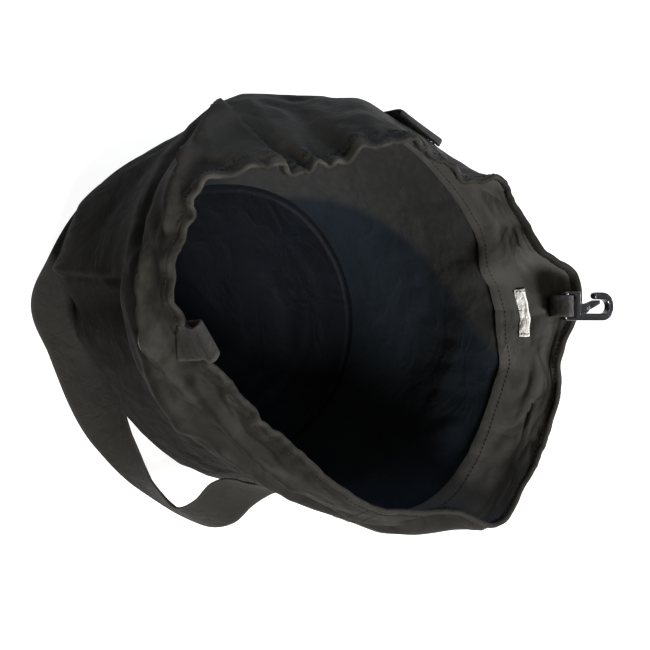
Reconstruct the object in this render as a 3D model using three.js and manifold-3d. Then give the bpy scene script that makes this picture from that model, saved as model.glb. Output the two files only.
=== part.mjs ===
// A soft cloth helmet bag standing open on its base, with a webbing shoulder strap and a snap hook.
// Millimetres, +Z up, front towards -Y. The origin is on the floor under the middle of the bag.
import * as THREE from "three";
import { mergeVertices } from "three/addons/utils/BufferGeometryUtils.js";
import Module from "manifold-3d";

// Cloth, webbing and label thicknesses, and the gap that sewn pieces keep.
const CLOTH = 1.6;
const FACING_CLOTH = 1.2;
const BASE_CLOTH = 2;
const WEBBING = 2;
const LABEL_CLOTH = 1;
const GAP = 0.4;

// Bearings round the bag are in degrees: 0 is the right side, 90 the back and -90 the front.
const RIGHT_SEAM = 4;
const LEFT_SEAM = 156;
const SEAM_GAP = 2 * GAP;

// The wall climbs from 0 at the floor to 1 at the rim, through these named rings.
const CLIMB = { foot: 0, belly: 0.22, tuck: 0.46, shoulder: 0.6, rim: 1 };

// One row per upright section of the wall: radius and height of each ring below the rim.
const FOOT_HEIGHT = 0.8;
const WALL_SECTIONS = [
  { bearing: -180, foot: 120, belly: 158, bellyZ: 62, tuck: 168, tuckZ: 116, shoulder: 172, shoulderZ: 146 },
  { bearing: -160, foot: 119, belly: 160, bellyZ: 56, tuck: 168, tuckZ: 110, shoulder: 173, shoulderZ: 138 },
  { bearing: -142, foot: 118, belly: 161, bellyZ: 50, tuck: 160, tuckZ: 106, shoulder: 164, shoulderZ: 138 },
  { bearing: -124, foot: 119, belly: 168, bellyZ: 42, tuck: 152, tuckZ: 112, shoulder: 158, shoulderZ: 152 },
  { bearing: -108, foot: 120, belly: 160, bellyZ: 40, tuck: 143, tuckZ: 118, shoulder: 153, shoulderZ: 158 },
  { bearing: -92, foot: 117, belly: 146, bellyZ: 32, tuck: 127, tuckZ: 126, shoulder: 148, shoulderZ: 160 },
  { bearing: -72, foot: 110, belly: 132, bellyZ: 42, tuck: 122, tuckZ: 130, shoulder: 136, shoulderZ: 162 },
  { bearing: -48, foot: 107, belly: 128, bellyZ: 54, tuck: 119, tuckZ: 130, shoulder: 123, shoulderZ: 164 },
  { bearing: -24, foot: 110, belly: 128, bellyZ: 58, tuck: 118, tuckZ: 132, shoulder: 124, shoulderZ: 168 },
  { bearing: 0, foot: 114, belly: 130, bellyZ: 60, tuck: 123, tuckZ: 136, shoulder: 135, shoulderZ: 174 },
  { bearing: 18, foot: 118, belly: 133, bellyZ: 65, tuck: 137, tuckZ: 144, shoulder: 159, shoulderZ: 196 },
  { bearing: 34, foot: 120, belly: 136, bellyZ: 70, tuck: 145, tuckZ: 152, shoulder: 168, shoulderZ: 212 },
  { bearing: 62, foot: 122, belly: 140, bellyZ: 76, tuck: 143, tuckZ: 160, shoulder: 154, shoulderZ: 216 },
  { bearing: 92, foot: 124, belly: 141, bellyZ: 80, tuck: 138, tuckZ: 166, shoulder: 138, shoulderZ: 226 },
  { bearing: 122, foot: 124, belly: 146, bellyZ: 78, tuck: 146, tuckZ: 156, shoulder: 144, shoulderZ: 212 },
  { bearing: 150, foot: 124, belly: 156, bellyZ: 70, tuck: 165, tuckZ: 130, shoulder: 167, shoulderZ: 172 },
];

// The rim, which wanders more than the wall below it.
const RIM_POINTS = [
  { bearing: -180, radius: 122, height: 238 },
  { bearing: -168, radius: 113, height: 233 },
  { bearing: -154, radius: 113, height: 227 },
  { bearing: -142, radius: 129, height: 223 },
  { bearing: -130, radius: 143, height: 216 },
  { bearing: -114, radius: 139, height: 210 },
  { bearing: -100, radius: 132, height: 205 },
  { bearing: -86, radius: 117, height: 204 },
  { bearing: -68, radius: 101, height: 207 },
  { bearing: -48, radius: 96, height: 211 },
  { bearing: -28, radius: 98, height: 215 },
  { bearing: -12, radius: 110, height: 220 },
  { bearing: 4, radius: 127, height: 227 },
  { bearing: 20, radius: 140, height: 235 },
  { bearing: 27, radius: 150, height: 242 },
  { bearing: 33, radius: 170, height: 251 },
  { bearing: 46, radius: 166, height: 252 },
  { bearing: 58, radius: 160, height: 255 },
  { bearing: 72, radius: 149, height: 262 },
  { bearing: 84, radius: 139, height: 271 },
  { bearing: 95, radius: 140, height: 286 },
  { bearing: 105, radius: 143, height: 281 },
  { bearing: 114, radius: 135, height: 270 },
  { bearing: 128, radius: 137, height: 258 },
  { bearing: 138, radius: 139, height: 251 },
  { bearing: 146, radius: 125, height: 245 },
  { bearing: 157, radius: 127, height: 243 },
  { bearing: 168, radius: 129, height: 241 },
];

// Folds in the wall: a ridge (rise above 0) or a crease (below 0) from one place to another.
const FOLDS = [
  { bearing: -100, climb: 0.98, toBearing: -150, toClimb: 0.7, width: 14, rise: 6 },
  { bearing: -116, climb: 0.66, toBearing: -146, toClimb: 0.6, width: 12, rise: -7 },
  { bearing: -104, climb: 0.02, toBearing: -103, toClimb: 0.4, width: 10, rise: 5 },
  { bearing: -96, climb: 0.05, toBearing: -95, toClimb: 0.42, width: 12, rise: -5 },
  { bearing: -82, climb: 0.7, toBearing: -58, toClimb: 0.62, width: 12, rise: 6 },
  { bearing: -70, climb: 0.86, toBearing: -20, toClimb: 0.78, width: 11, rise: 5 },
  { bearing: -52, climb: 0.74, toBearing: -4, toClimb: 0.7, width: 10, rise: -5 },
  { bearing: 24, climb: 0.95, toBearing: 12, toClimb: 0.7, width: 10, rise: -5 },
  { bearing: 178, climb: 0.92, toBearing: 169, toClimb: 0.66, width: 14, rise: 5 },
  { bearing: -166, climb: 0.95, toBearing: -176, toClimb: 0.62, width: 12, rise: -5 },
  { bearing: 118, climb: 0.98, toBearing: 108, toClimb: 0.5, width: 14, rise: -5 },
  { bearing: 70, climb: 0.95, toBearing: 78, toClimb: 0.55, width: 14, rise: 5 },
];

// Gathers along the rim: waves that die out down the wall.
const GATHER = { height: 2.2, waves: 22, fromClimb: 0.72 };

// How finely the wall is cut: columns per degree of bearing, and rows from floor to rim.
const WALL = { degreesPerColumn: 4, rows: 15, smoothFoot: 0.16, unrolledRadius: 145, unrolledHeight: 290 };

// The turned-in facing covers this many of the wall's top rows.
const FACING = { rows: 7, offset: -(CLOTH / 2 + GAP + FACING_CLOTH / 2) };

const BASE = { columns: 60, inset: CLOTH / 2 + 2 * GAP };

// The shoulder strap from its right end to its left end: the middle of the webbing, and the way its
// outer edge points (toward, a bearing) and tips up or down (lean).
const STRAP = { width: 38, steps: 84 };
const STRAP_STATIONS = [
  { bearing: -12, radius: 123.8, height: 142, toward: 78, lean: 0 },
  { bearing: -16, radius: 128, height: 122, toward: 76, lean: 12 },
  { bearing: -19, radius: 138, height: 105, toward: 72, lean: 22 },
  { bearing: -20, radius: 153, height: 91, toward: 66, lean: 14 },
  { bearing: -22, radius: 163, height: 70, toward: 60, lean: -8 },
  { bearing: -26, radius: 161, height: 47, toward: 48, lean: -38 },
  { bearing: -32, radius: 156, height: 32, toward: 32, lean: -48 },
  { bearing: -38, radius: 151, height: 24, toward: 9, lean: -46 },
  { bearing: -47, radius: 144, height: 17, toward: -18, lean: -40 },
  { bearing: -57, radius: 138, height: 9, toward: -46, lean: -20 },
  { bearing: -68, radius: 136, height: 3, toward: -62, lean: -4 },
  { bearing: -84, radius: 141, height: 1.7, toward: -78, lean: 0 },
  { bearing: -96, radius: 153, height: 1.7, toward: -92, lean: 0 },
  { bearing: -107, radius: 148, height: 1.7, toward: -113, lean: 0 },
  { bearing: -122, radius: 145, height: 1.7, toward: -127, lean: 0 },
  { bearing: -140, radius: 144, height: 1.7, toward: -142, lean: 0 },
  { bearing: -158, radius: 145, height: 2.2, toward: -162, lean: 0 },
  { bearing: -174, radius: 150, height: 7, toward: 178, lean: 8 },
  { bearing: 173, radius: 166, height: 34, toward: 124, lean: 12 },
  { bearing: 162, radius: 173, height: 92, toward: 78, lean: 4 },
  { bearing: 154, radius: 174, height: 146, toward: 62, lean: 0 },
  { bearing: 153, radius: 172.8, height: 174, toward: 60, lean: 0 },
  { bearing: 154, radius: 165.8, height: 190, toward: 65, lean: 0 },
  { bearing: 155.5, radius: 158.6, height: 197, toward: 69, lean: 0 },
];

// The keeper loop straddles the front rim; the hook tab hangs inside the back rim.
const KEEPER = { bearing: -85, width: 25, legLow: 0.9, stand: 20, bulge: 4, columns: 4, legSteps: 3, archSteps: 12 };
const LABEL = { bearing: 94, width: 36, low: 0.6, high: 0.66, columns: 8, rows: 3 };

// The snap hook, drawn flat: l runs from its eye to its nose, b across it, n through it.
const HOOK = {
  place: [-13, 126.5, 289.2],
  tiltDegrees: 6,
  width: 20,
  thickness: 6,
  rail: 4.5,
  corner: 3,
  eyeEnd: -6,
  slot: [-2.5, 3],
  slotWidth: 16,
  neck: 8,
  bowCentre: 27,
  noseEnd: 22,
  curveSegments: 12,
};
// The gate's pin, bore and barrel are radii; the lug that carries the pin overlaps the eye block.
const GATE = {
  pivot: [11.8, 1.4],
  pin: 1.5,
  bore: 1.8,
  barrel: 3,
  lug: 3.4,
  lugOverlap: 1,
  thickness: 3,
  cheek: 1.2,
  arm: 2.8,
  tip: 25.5,
};
// The tab's first leg ends at legHigh and its second at tailHigh; soft rounds its turn in the eye.
const TAB = { width: 15, legLow: 0.8, legHigh: 0.88, tailHigh: 0.83, soft: 1, tail: 2, columns: 2, steps: 34 };

const COLOURS = { cloth: 0x232326, facing: 0x2c2c30, webbing: 0x2a2a2b, plastic: 0x101012, label: 0xe9e9e4 };

const degrees = THREE.MathUtils.degToRad;

/** Cubic interpolation of one column through rows at uneven keys, on a loop of the given length. */
function loopValue(rows, key, column, at, length) {
  const count = rows.length;
  const first = rows[0][key];
  const place = first + THREE.MathUtils.euclideanModulo(at - first, length);
  let i = count - 1;
  while (rows[i][key] > place) i -= 1;
  const row = (k) => rows[THREE.MathUtils.euclideanModulo(k, count)];
  const keyOf = (k) => row(k)[key] + Math.floor(k / count) * length;
  return hermite([i - 1, i, i + 1, i + 2].map((k) => [keyOf(k), row(k)[column]]), place);
}

/** Cubic through the middle two of four [key, value] knots, with slopes from their neighbours. */
function hermite([a, b, c, d], at) {
  const span = c[0] - b[0];
  const t = (at - b[0]) / span;
  const slopeIn = ((c[1] - a[1]) / (c[0] - a[0])) * span;
  const slopeOut = ((d[1] - b[1]) / (d[0] - b[0])) * span;
  const t2 = t * t;
  const t3 = t2 * t;
  return (
    (2 * t3 - 3 * t2 + 1) * b[1] + (t3 - 2 * t2 + t) * slopeIn + (3 * t2 - 2 * t3) * c[1] + (t3 - t2) * slopeOut
  );
}

const TURN = 360;
const section = (column, bearing) => loopValue(WALL_SECTIONS, "bearing", column, bearing, TURN);
const rimValue = (column, bearing) => loopValue(RIM_POINTS, "bearing", column, bearing, TURN);

/** The wall's rings at a bearing, as [climb, radius, height]. */
function ringsAt(bearing) {
  return [
    [CLIMB.foot, section("foot", bearing), FOOT_HEIGHT],
    [CLIMB.belly, section("belly", bearing), section("bellyZ", bearing)],
    [CLIMB.tuck, section("tuck", bearing), section("tuckZ", bearing)],
    [CLIMB.shoulder, section("shoulder", bearing), section("shoulderZ", bearing)],
    [CLIMB.rim, rimValue("radius", bearing), rimValue("height", bearing)],
  ];
}

/** One profile column (1 radius, 2 height) through the rings at a climb. */
function profile(rings, column, climb) {
  let i = 0;
  while (i < rings.length - 2 && rings[i + 1][0] <= climb) i += 1;
  const knot = (k) => {
    const inside = THREE.MathUtils.clamp(k, 0, rings.length - 1);
    const edge = rings[inside];
    if (inside === k) return [edge[0], edge[column]];
    const next = rings[inside === 0 ? 1 : inside - 1];
    return [2 * edge[0] - next[0], 2 * edge[column] - next[column]];
  };
  return hermite([knot(i - 1), knot(i), knot(i + 1), knot(i + 2)], climb);
}

/** The wall without its folds. */
function plainWall(bearing, climb) {
  const rings = ringsAt(bearing);
  const radius = profile(rings, 1, climb);
  const angle = degrees(bearing);
  return new THREE.Vector3(radius * Math.cos(angle), radius * Math.sin(angle), profile(rings, 2, climb));
}

const PROBE = { bearing: 1.5, climb: 0.012 };

/** Outward direction of the wall without its folds. */
function wallNormal(bearing, climb) {
  const low = Math.max(climb - PROBE.climb, 0);
  const high = Math.min(climb + PROBE.climb, 1);
  const round = plainWall(bearing + PROBE.bearing, climb).sub(plainWall(bearing - PROBE.bearing, climb));
  const up = plainWall(bearing, high).sub(plainWall(bearing, low));
  return round.cross(up).normalize();
}

/** Shortest signed turn from one bearing to another. */
function turnBetween(from, to) {
  return THREE.MathUtils.euclideanModulo(to - from + TURN / 2, TURN) - TURN / 2;
}

/** How far the folds and gathers lift the wall at a place. */
function foldLift(bearing, climb) {
  const acrossScale = degrees(1) * WALL.unrolledRadius;
  let lift = 0;
  for (const fold of FOLDS) {
    const place = new THREE.Vector3(
      turnBetween(fold.bearing, bearing) * acrossScale,
      (climb - fold.climb) * WALL.unrolledHeight,
      0,
    );
    const end = new THREE.Vector3(
      turnBetween(fold.bearing, fold.toBearing) * acrossScale,
      (fold.toClimb - fold.climb) * WALL.unrolledHeight,
      0,
    );
    const near = new THREE.Line3(new THREE.Vector3(), end).closestPointToPoint(place, true, new THREE.Vector3());
    lift += fold.rise * Math.exp(-((near.distanceTo(place) / fold.width) ** 2));
  }
  const gather = THREE.MathUtils.smoothstep(climb, GATHER.fromClimb, 1) * GATHER.height;
  const offFloor = THREE.MathUtils.smoothstep(climb, 0, WALL.smoothFoot);
  return offFloor * lift + gather * Math.sin(degrees(bearing) * GATHER.waves);
}

/** A point on the middle of the bag's wall. */
function wallPoint(bearing, climb) {
  return plainWall(bearing, climb).addScaledVector(wallNormal(bearing, climb), foldLift(bearing, climb));
}

/** A grid of points on a sheet's middle surface: pointAt(across, along), each from 0 to 1. */
function sheetGrid(columns, rows, pointAt) {
  return Array.from({ length: rows + 1 }, (_, j) =>
    Array.from({ length: columns + 1 }, (_, i) => pointAt(i / columns, j / rows)),
  );
}

/** Directions square to a grid's surface, on the side that columns crossed with rows point to. */
function gridNormals(grid) {
  const last = (list) => list.length - 1;
  return grid.map((row, j) =>
    row.map((_, i) => {
      const across = row[Math.min(i + 1, last(row))].clone().sub(row[Math.max(i - 1, 0)]);
      const along = grid[Math.min(j + 1, last(grid))][i].clone().sub(grid[Math.max(j - 1, 0)][i]);
      return across.cross(along).normalize();
    }),
  );
}

/** A closed solid of a sheet: its grid's surface thickened evenly to both sides. */
function sheetSolid(grid, thickness, normals = gridNormals(grid)) {
  const columns = grid[0].length;
  const rows = grid.length;
  const positions = [];
  for (const side of [1, -1])
    grid.forEach((row, j) =>
      row.forEach((point, i) =>
        positions.push(...point.clone().addScaledVector(normals[j][i], (side * thickness) / 2).toArray()),
      ),
    );
  const front = (i, j) => j * columns + i;
  const back = (i, j) => rows * columns + front(i, j);
  const index = [];
  const quad = (a, b, c, d) => index.push(a, b, c, a, c, d);
  for (let j = 0; j < rows - 1; j += 1)
    for (let i = 0; i < columns - 1; i += 1) {
      quad(front(i, j), front(i + 1, j), front(i + 1, j + 1), front(i, j + 1));
      quad(back(i, j), back(i, j + 1), back(i + 1, j + 1), back(i + 1, j));
    }
  const endColumn = columns - 1;
  const endRow = rows - 1;
  for (let i = 0; i < endColumn; i += 1) {
    quad(front(i + 1, 0), front(i, 0), back(i, 0), back(i + 1, 0));
    quad(front(i, endRow), front(i + 1, endRow), back(i + 1, endRow), back(i, endRow));
  }
  for (let j = 0; j < endRow; j += 1) {
    quad(front(0, j), front(0, j + 1), back(0, j + 1), back(0, j));
    quad(front(endColumn, j + 1), front(endColumn, j), back(endColumn, j), back(endColumn, j + 1));
  }
  const geometry = new THREE.BufferGeometry();
  geometry.setAttribute("position", new THREE.Float32BufferAttribute(positions, 3));
  geometry.setIndex(index);
  return geometry;
}

/** A grid moved square to its surface by an offset. */
function offsetGrid(grid, normals, offset) {
  return grid.map((row, j) => row.map((point, i) => point.clone().addScaledVector(normals[j][i], offset)));
}

/** The cut cloth between two bearings, and points on it or at an offset from it. */
class WallCloth {
  constructor(from, to) {
    this.from = from;
    this.to = to;
    this.columns = Math.round((to - from) / WALL.degreesPerColumn);
    const step = (to - from) / this.columns;
    // One spare column past each seam lets the two cloths meet at the same slope.
    const spare = sheetGrid(this.columns + 2, WALL.rows, (across, along) =>
      wallPoint(THREE.MathUtils.lerp(from - step, to + step, across), along),
    );
    const withoutSpare = (field) => field.map((row) => row.slice(1, -1));
    this.grid = withoutSpare(spare);
    this.normals = withoutSpare(gridNormals(spare));
  }

  panel() {
    return sheetSolid(this.grid, CLOTH, this.normals);
  }

  facing() {
    const grid = this.grid.slice(-FACING.rows - 1);
    const normals = this.normals.slice(-FACING.rows - 1);
    return sheetSolid(offsetGrid(grid, normals, FACING.offset), FACING_CLOTH, normals);
  }

  pointAt(bearing, climb, offset) {
    const column = THREE.MathUtils.clamp((bearing - this.from) / (this.to - this.from), 0, 1) * this.columns;
    const row = THREE.MathUtils.clamp(climb, 0, 1) * WALL.rows;
    const i = Math.min(Math.floor(column), this.columns - 1);
    const j = Math.min(Math.floor(row), WALL.rows - 1);
    const blend = (field) => {
      const low = field[j][i].clone().lerp(field[j][i + 1], column - i);
      return low.lerp(field[j + 1][i].clone().lerp(field[j + 1][i + 1], column - i), row - j);
    };
    return blend(this.grid).addScaledVector(blend(this.normals).normalize(), offset);
  }
}

const seamTurn = THREE.MathUtils.radToDeg(SEAM_GAP / section("foot", RIGHT_SEAM));
const frontCloth = new WallCloth(LEFT_SEAM - TURN + seamTurn / 2, RIGHT_SEAM - seamTurn / 2);
const backCloth = new WallCloth(RIGHT_SEAM + seamTurn / 2, LEFT_SEAM - seamTurn / 2);

/** The flat cloth bottom, just inside the foot of the wall. */
function basePanel() {
  const outline = Array.from({ length: BASE.columns }, (_, i) => {
    const bearing = (i / BASE.columns) * TURN;
    const radius = section("foot", bearing) - BASE.inset;
    return new THREE.Vector2(radius * Math.cos(degrees(bearing)), radius * Math.sin(degrees(bearing)));
  });
  return new THREE.ExtrudeGeometry(new THREE.Shape(outline), { depth: BASE_CLOTH, bevelEnabled: false });
}

/** A direction from a bearing and a lean above the floor. */
function direction(bearing, lean) {
  const level = Math.cos(degrees(lean));
  return new THREE.Vector3(
    level * Math.cos(degrees(bearing)),
    level * Math.sin(degrees(bearing)),
    Math.sin(degrees(lean)),
  );
}

/** The strap as a ribbon through its stations. */
function strapSolid() {
  const middle = new THREE.CatmullRomCurve3(
    STRAP_STATIONS.map((s) => direction(s.bearing, 0).multiplyScalar(s.radius).setZ(s.height)),
  );
  const edges = new THREE.CatmullRomCurve3(STRAP_STATIONS.map((s) => direction(s.toward, s.lean)));
  const grid = sheetGrid(1, STRAP.steps, (across, along) => {
    const tangent = middle.getTangent(along);
    const edge = edges.getPoint(along);
    edge.addScaledVector(tangent, -edge.dot(tangent)).normalize();
    return middle.getPoint(along).addScaledVector(edge, (across - 0.5) * STRAP.width);
  });
  return sheetSolid(grid, WEBBING);
}

/** Bearings that a piece of the given width covers at a place on the wall. */
function bearingSpan(bearing, climb, width) {
  const reach = wallPoint(bearing, climb).setZ(0).length();
  return THREE.MathUtils.radToDeg(width / reach);
}

// Webbing sewn over the gathers lies a little off the cloth.
const EASE = 2.5 * GAP;
const OUTSIDE_WALL = CLOTH / 2 + EASE + WEBBING / 2;
const INSIDE_FACING = FACING.offset - FACING_CLOTH / 2 - EASE - WEBBING / 2;

/** Webbing loop: up the outside of the rim, over in an arch, down the inside. */
function keeperSolid() {
  const span = bearingSpan(KEEPER.bearing, CLIMB.rim, KEEPER.width);
  const middle = (OUTSIDE_WALL + INSIDE_FACING) / 2;
  const half = (OUTSIDE_WALL - INSIDE_FACING) / 2;
  const steps = 2 * KEEPER.legSteps + KEEPER.archSteps;
  const grid = sheetGrid(KEEPER.columns, steps, (across, along) => {
    const bearing = KEEPER.bearing + (across - 0.5) * span;
    const step = Math.round(along * steps);
    const leg = (part, offset) => frontCloth.pointAt(bearing, THREE.MathUtils.lerp(KEEPER.legLow, 1, part), offset);
    if (step <= KEEPER.legSteps) return leg(step / KEEPER.legSteps, OUTSIDE_WALL);
    const down = step - KEEPER.legSteps - KEEPER.archSteps;
    if (down >= 0) return leg(1 - down / KEEPER.legSteps, INSIDE_FACING);
    const turn = ((step - KEEPER.legSteps) / KEEPER.archSteps) * Math.PI;
    const reach = half * Math.cos(turn) * (1 + KEEPER.bulge * Math.sin(turn) ** 2);
    return leg(1, middle + reach).add(new THREE.Vector3(0, 0, KEEPER.stand * Math.sin(turn)));
  });
  return sheetSolid(grid, WEBBING);
}

/** The white label, flat against the inside of the back facing. */
function labelSolid() {
  const span = bearingSpan(LABEL.bearing, LABEL.low, LABEL.width);
  const offset = FACING.offset - FACING_CLOTH / 2 - GAP - LABEL_CLOTH / 2;
  const grid = sheetGrid(LABEL.columns, LABEL.rows, (across, along) =>
    backCloth.pointAt(
      LABEL.bearing + (across - 0.5) * span,
      THREE.MathUtils.lerp(LABEL.low, LABEL.high, along),
      offset,
    ),
  );
  return sheetSolid(grid, LABEL_CLOTH);
}

const wasm = await Module();
wasm.setup();

/** A closed geometry as a solid that can be joined and cut. */
function solidFrom(geometry) {
  const bare = geometry.index ? geometry.clone() : geometry;
  bare.deleteAttribute("normal");
  bare.deleteAttribute("uv");
  const merged = mergeVertices(bare, 1e-4);
  return new wasm.Manifold(
    new wasm.Mesh({
      numProp: 3,
      vertProperties: new Float32Array(merged.attributes.position.array),
      triVerts: new Uint32Array(merged.index.array),
    }),
  );
}

/** The geometry of a joined or cut solid. */
function geometryFrom(solid) {
  const mesh = solid.getMesh();
  const geometry = new THREE.BufferGeometry();
  geometry.setAttribute("position", new THREE.BufferAttribute(mesh.vertProperties, 3));
  geometry.setIndex(new THREE.BufferAttribute(mesh.triVerts, 1));
  return geometry;
}

/** A flat shape made into a plate between two levels through the hook. */
function plate(shape, low, high) {
  const geometry = new THREE.ExtrudeGeometry(shape, {
    depth: high - low,
    bevelEnabled: false,
    curveSegments: HOOK.curveSegments,
  });
  return solidFrom(geometry.translate(0, 0, low));
}

function disc(centre, radius) {
  return new THREE.Shape().absarc(centre[0], centre[1], radius, 0, 2 * Math.PI);
}

/** The hook's flat outline: eye block, spine, round bow and nose, with the eye's slot. */
function hookOutline() {
  const half = HOOK.width / 2;
  const inner = half - HOOK.rail;
  const { corner, eyeEnd, neck, bowCentre, noseEnd } = HOOK;
  const shape = new THREE.Shape();
  shape.moveTo(eyeEnd + corner, -half);
  shape.lineTo(neck, -half);
  shape.lineTo(neck, inner);
  shape.lineTo(bowCentre, inner);
  shape.absarc(bowCentre, 0, inner, Math.PI / 2, -Math.PI / 2, true);
  shape.lineTo(noseEnd, -inner);
  shape.absarc(noseEnd, -(half + inner) / 2, HOOK.rail / 2, Math.PI / 2, (3 * Math.PI) / 2, false);
  shape.lineTo(bowCentre, -half);
  shape.absarc(bowCentre, 0, half, -Math.PI / 2, Math.PI / 2, false);
  shape.lineTo(eyeEnd + corner, half);
  shape.absarc(eyeEnd + corner, half - corner, corner, Math.PI / 2, Math.PI, false);
  shape.absarc(eyeEnd + corner, -half + corner, corner, Math.PI, (3 * Math.PI) / 2, false);
  const slot = new THREE.Path();
  const [from, to] = HOOK.slot;
  const side = HOOK.slotWidth / 2;
  slot.moveTo(from, -side).lineTo(from, side).lineTo(to, side).lineTo(to, -side).closePath();
  shape.holes.push(slot);
  return shape;
}

/** The lug that carries the gate's pin, from the eye block to just past the pin. */
function lugOutline() {
  const [l, b] = GATE.pivot;
  const shape = new THREE.Shape();
  shape.moveTo(HOOK.neck - GATE.lugOverlap, b - GATE.lug);
  shape.lineTo(l, b - GATE.lug);
  shape.absarc(l, b, GATE.lug, -Math.PI / 2, Math.PI / 2, false);
  shape.lineTo(HOOK.neck - GATE.lugOverlap, b + GATE.lug);
  shape.closePath();
  return shape;
}

function hookBody() {
  const top = HOOK.thickness / 2;
  let body = plate(hookOutline(), -top, top);
  for (const low of [-top, top - GATE.cheek]) body = body.add(plate(lugOutline(), low, low + GATE.cheek));
  return geometryFrom(body.add(plate(disc(GATE.pivot, GATE.pin), -top, top)));
}

/** The gate: a barrel on the pin and an arm whose tip rests inside the nose. */
function hookGate() {
  const [l, b] = GATE.pivot;
  const half = GATE.thickness / 2;
  const rest = -(HOOK.width / 2 - HOOK.rail) + GAP;
  const arm = new THREE.Shape();
  arm.moveTo(l, b - GATE.arm / 2);
  arm.lineTo(HOOK.noseEnd - HOOK.rail / 2, rest);
  arm.lineTo(GATE.tip, rest);
  arm.lineTo(GATE.tip, rest + GATE.arm);
  arm.lineTo(l, b + GATE.arm / 2);
  arm.closePath();
  const gate = plate(disc(GATE.pivot, GATE.barrel), -half, half).add(plate(arm, -half, half));
  return geometryFrom(gate.subtract(plate(disc(GATE.pivot, GATE.bore), -GATE.thickness, GATE.thickness)));
}

const group = new THREE.Group();

// The hook lies over the back rim, nose outward: l outward and up, b to the right, n down.
const hookGroup = new THREE.Group();
const outward = direction(90, HOOK.tiltDegrees);
const rightward = new THREE.Vector3(1, 0, 0);
hookGroup.applyMatrix4(
  new THREE.Matrix4().makeBasis(outward, rightward, outward.clone().cross(rightward)).setPosition(...HOOK.place),
);
hookGroup.updateMatrixWorld(true);
group.add(hookGroup);

/** Webbing tab: up the facing, through the hook's eye round its bar, and back down. */
function tabSolid() {
  const bearing = THREE.MathUtils.radToDeg(Math.atan2(HOOK.place[1], HOOK.place[0]));
  const span = bearingSpan(bearing, TAB.legHigh, TAB.width);
  const bar = HOOK.thickness / 2 + 2 * GAP + WEBBING / 2;
  const slotMiddle = HOOK.slot[0] + 2 * GAP + WEBBING / 2;
  const secondLeg = INSIDE_FACING - WEBBING - 2 * GAP;
  const grid = sheetGrid(TAB.columns, TAB.steps, (across, along) => {
    const at = bearing - (across - 0.5) * span;
    const inHook = (l, up) => hookGroup.localToWorld(new THREE.Vector3(l, (across - 0.5) * TAB.width, -up));
    const path = new THREE.CatmullRomCurve3([
      backCloth.pointAt(at, TAB.legLow, INSIDE_FACING),
      backCloth.pointAt(at, TAB.legHigh, INSIDE_FACING),
      inHook(HOOK.eyeEnd, -bar),
      inHook(HOOK.slot[0] - GAP, -bar),
      inHook(slotMiddle, TAB.soft - bar),
      inHook(slotMiddle, bar - TAB.soft),
      inHook(HOOK.slot[0] - GAP, bar),
      inHook(HOOK.eyeEnd, bar),
      inHook(HOOK.eyeEnd - WEBBING - TAB.soft, 0),
      inHook(HOOK.eyeEnd - WEBBING - GAP, -bar - TAB.tail),
      backCloth.pointAt(at, TAB.tailHigh, secondLeg),
      backCloth.pointAt(at, TAB.legLow, secondLeg),
    ]);
    return path.getPoint(along);
  });
  return sheetSolid(grid, WEBBING);
}

/** Adds a named mesh with its own material. */
function addPiece(name, geometry, colour, roughness, parent = group) {
  const material = new THREE.MeshStandardMaterial({ color: colour, roughness, metalness: 0 });
  const mesh = new THREE.Mesh(geometry, material);
  mesh.name = name;
  parent.add(mesh);
}

addPiece("front_panel", frontCloth.panel(), COLOURS.cloth, 0.62);
addPiece("back_panel", backCloth.panel(), COLOURS.cloth, 0.62);
addPiece("front_facing", frontCloth.facing(), COLOURS.facing, 0.58);
addPiece("back_facing", backCloth.facing(), COLOURS.facing, 0.58);
addPiece("base_panel", basePanel(), COLOURS.cloth, 0.7);
addPiece("shoulder_strap", strapSolid(), COLOURS.webbing, 0.8);
addPiece("keeper_loop", keeperSolid(), COLOURS.webbing, 0.8);
addPiece("hook_tab", tabSolid(), COLOURS.webbing, 0.8);
addPiece("sewn_label", labelSolid(), COLOURS.label, 0.75);
addPiece("hook_body", hookBody(), COLOURS.plastic, 0.32, hookGroup);
addPiece("hook_gate", hookGate(), COLOURS.plastic, 0.32, hookGroup);

export default group;
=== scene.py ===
"""A soft helmet bag, dressed: cloth shell, rim facing, base, webbing, label, stitching and snap hook.

Tables are in millimetres and degrees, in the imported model's frame: +Z up and the front towards -Y.
"""

import logging
import math
from collections.abc import Callable, Sequence
from dataclasses import dataclass, field
from enum import Enum
from typing import NamedTuple

import bmesh
import bpy
import numpy as np
from mathutils import Matrix, Vector


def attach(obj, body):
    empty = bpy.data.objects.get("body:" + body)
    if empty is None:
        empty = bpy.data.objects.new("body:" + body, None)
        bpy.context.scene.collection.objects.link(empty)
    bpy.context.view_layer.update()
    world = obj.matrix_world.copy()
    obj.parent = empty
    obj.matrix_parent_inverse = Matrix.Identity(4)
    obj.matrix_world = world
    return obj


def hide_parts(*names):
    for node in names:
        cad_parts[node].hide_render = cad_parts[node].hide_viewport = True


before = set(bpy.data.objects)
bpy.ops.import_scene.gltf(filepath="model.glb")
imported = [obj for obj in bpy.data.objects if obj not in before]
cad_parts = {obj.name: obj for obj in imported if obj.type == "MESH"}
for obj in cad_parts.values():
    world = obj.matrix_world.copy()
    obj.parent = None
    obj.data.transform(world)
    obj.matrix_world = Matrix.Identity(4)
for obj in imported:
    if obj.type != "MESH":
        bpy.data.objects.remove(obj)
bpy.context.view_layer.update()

Array = np.ndarray
Shade = tuple[float, float, float]
Outline = list[tuple[float, float]]

LOG = logging.getLogger("helmet_bag")
MM = 0.001
TURN = 360.0
BAG_BODY = "bag"
GATE_BODY = "gate"
WEAVE_MAP = "weave"
WEAR_AND_LIGHT_MASK = "wear"
SEED = 11

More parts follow.
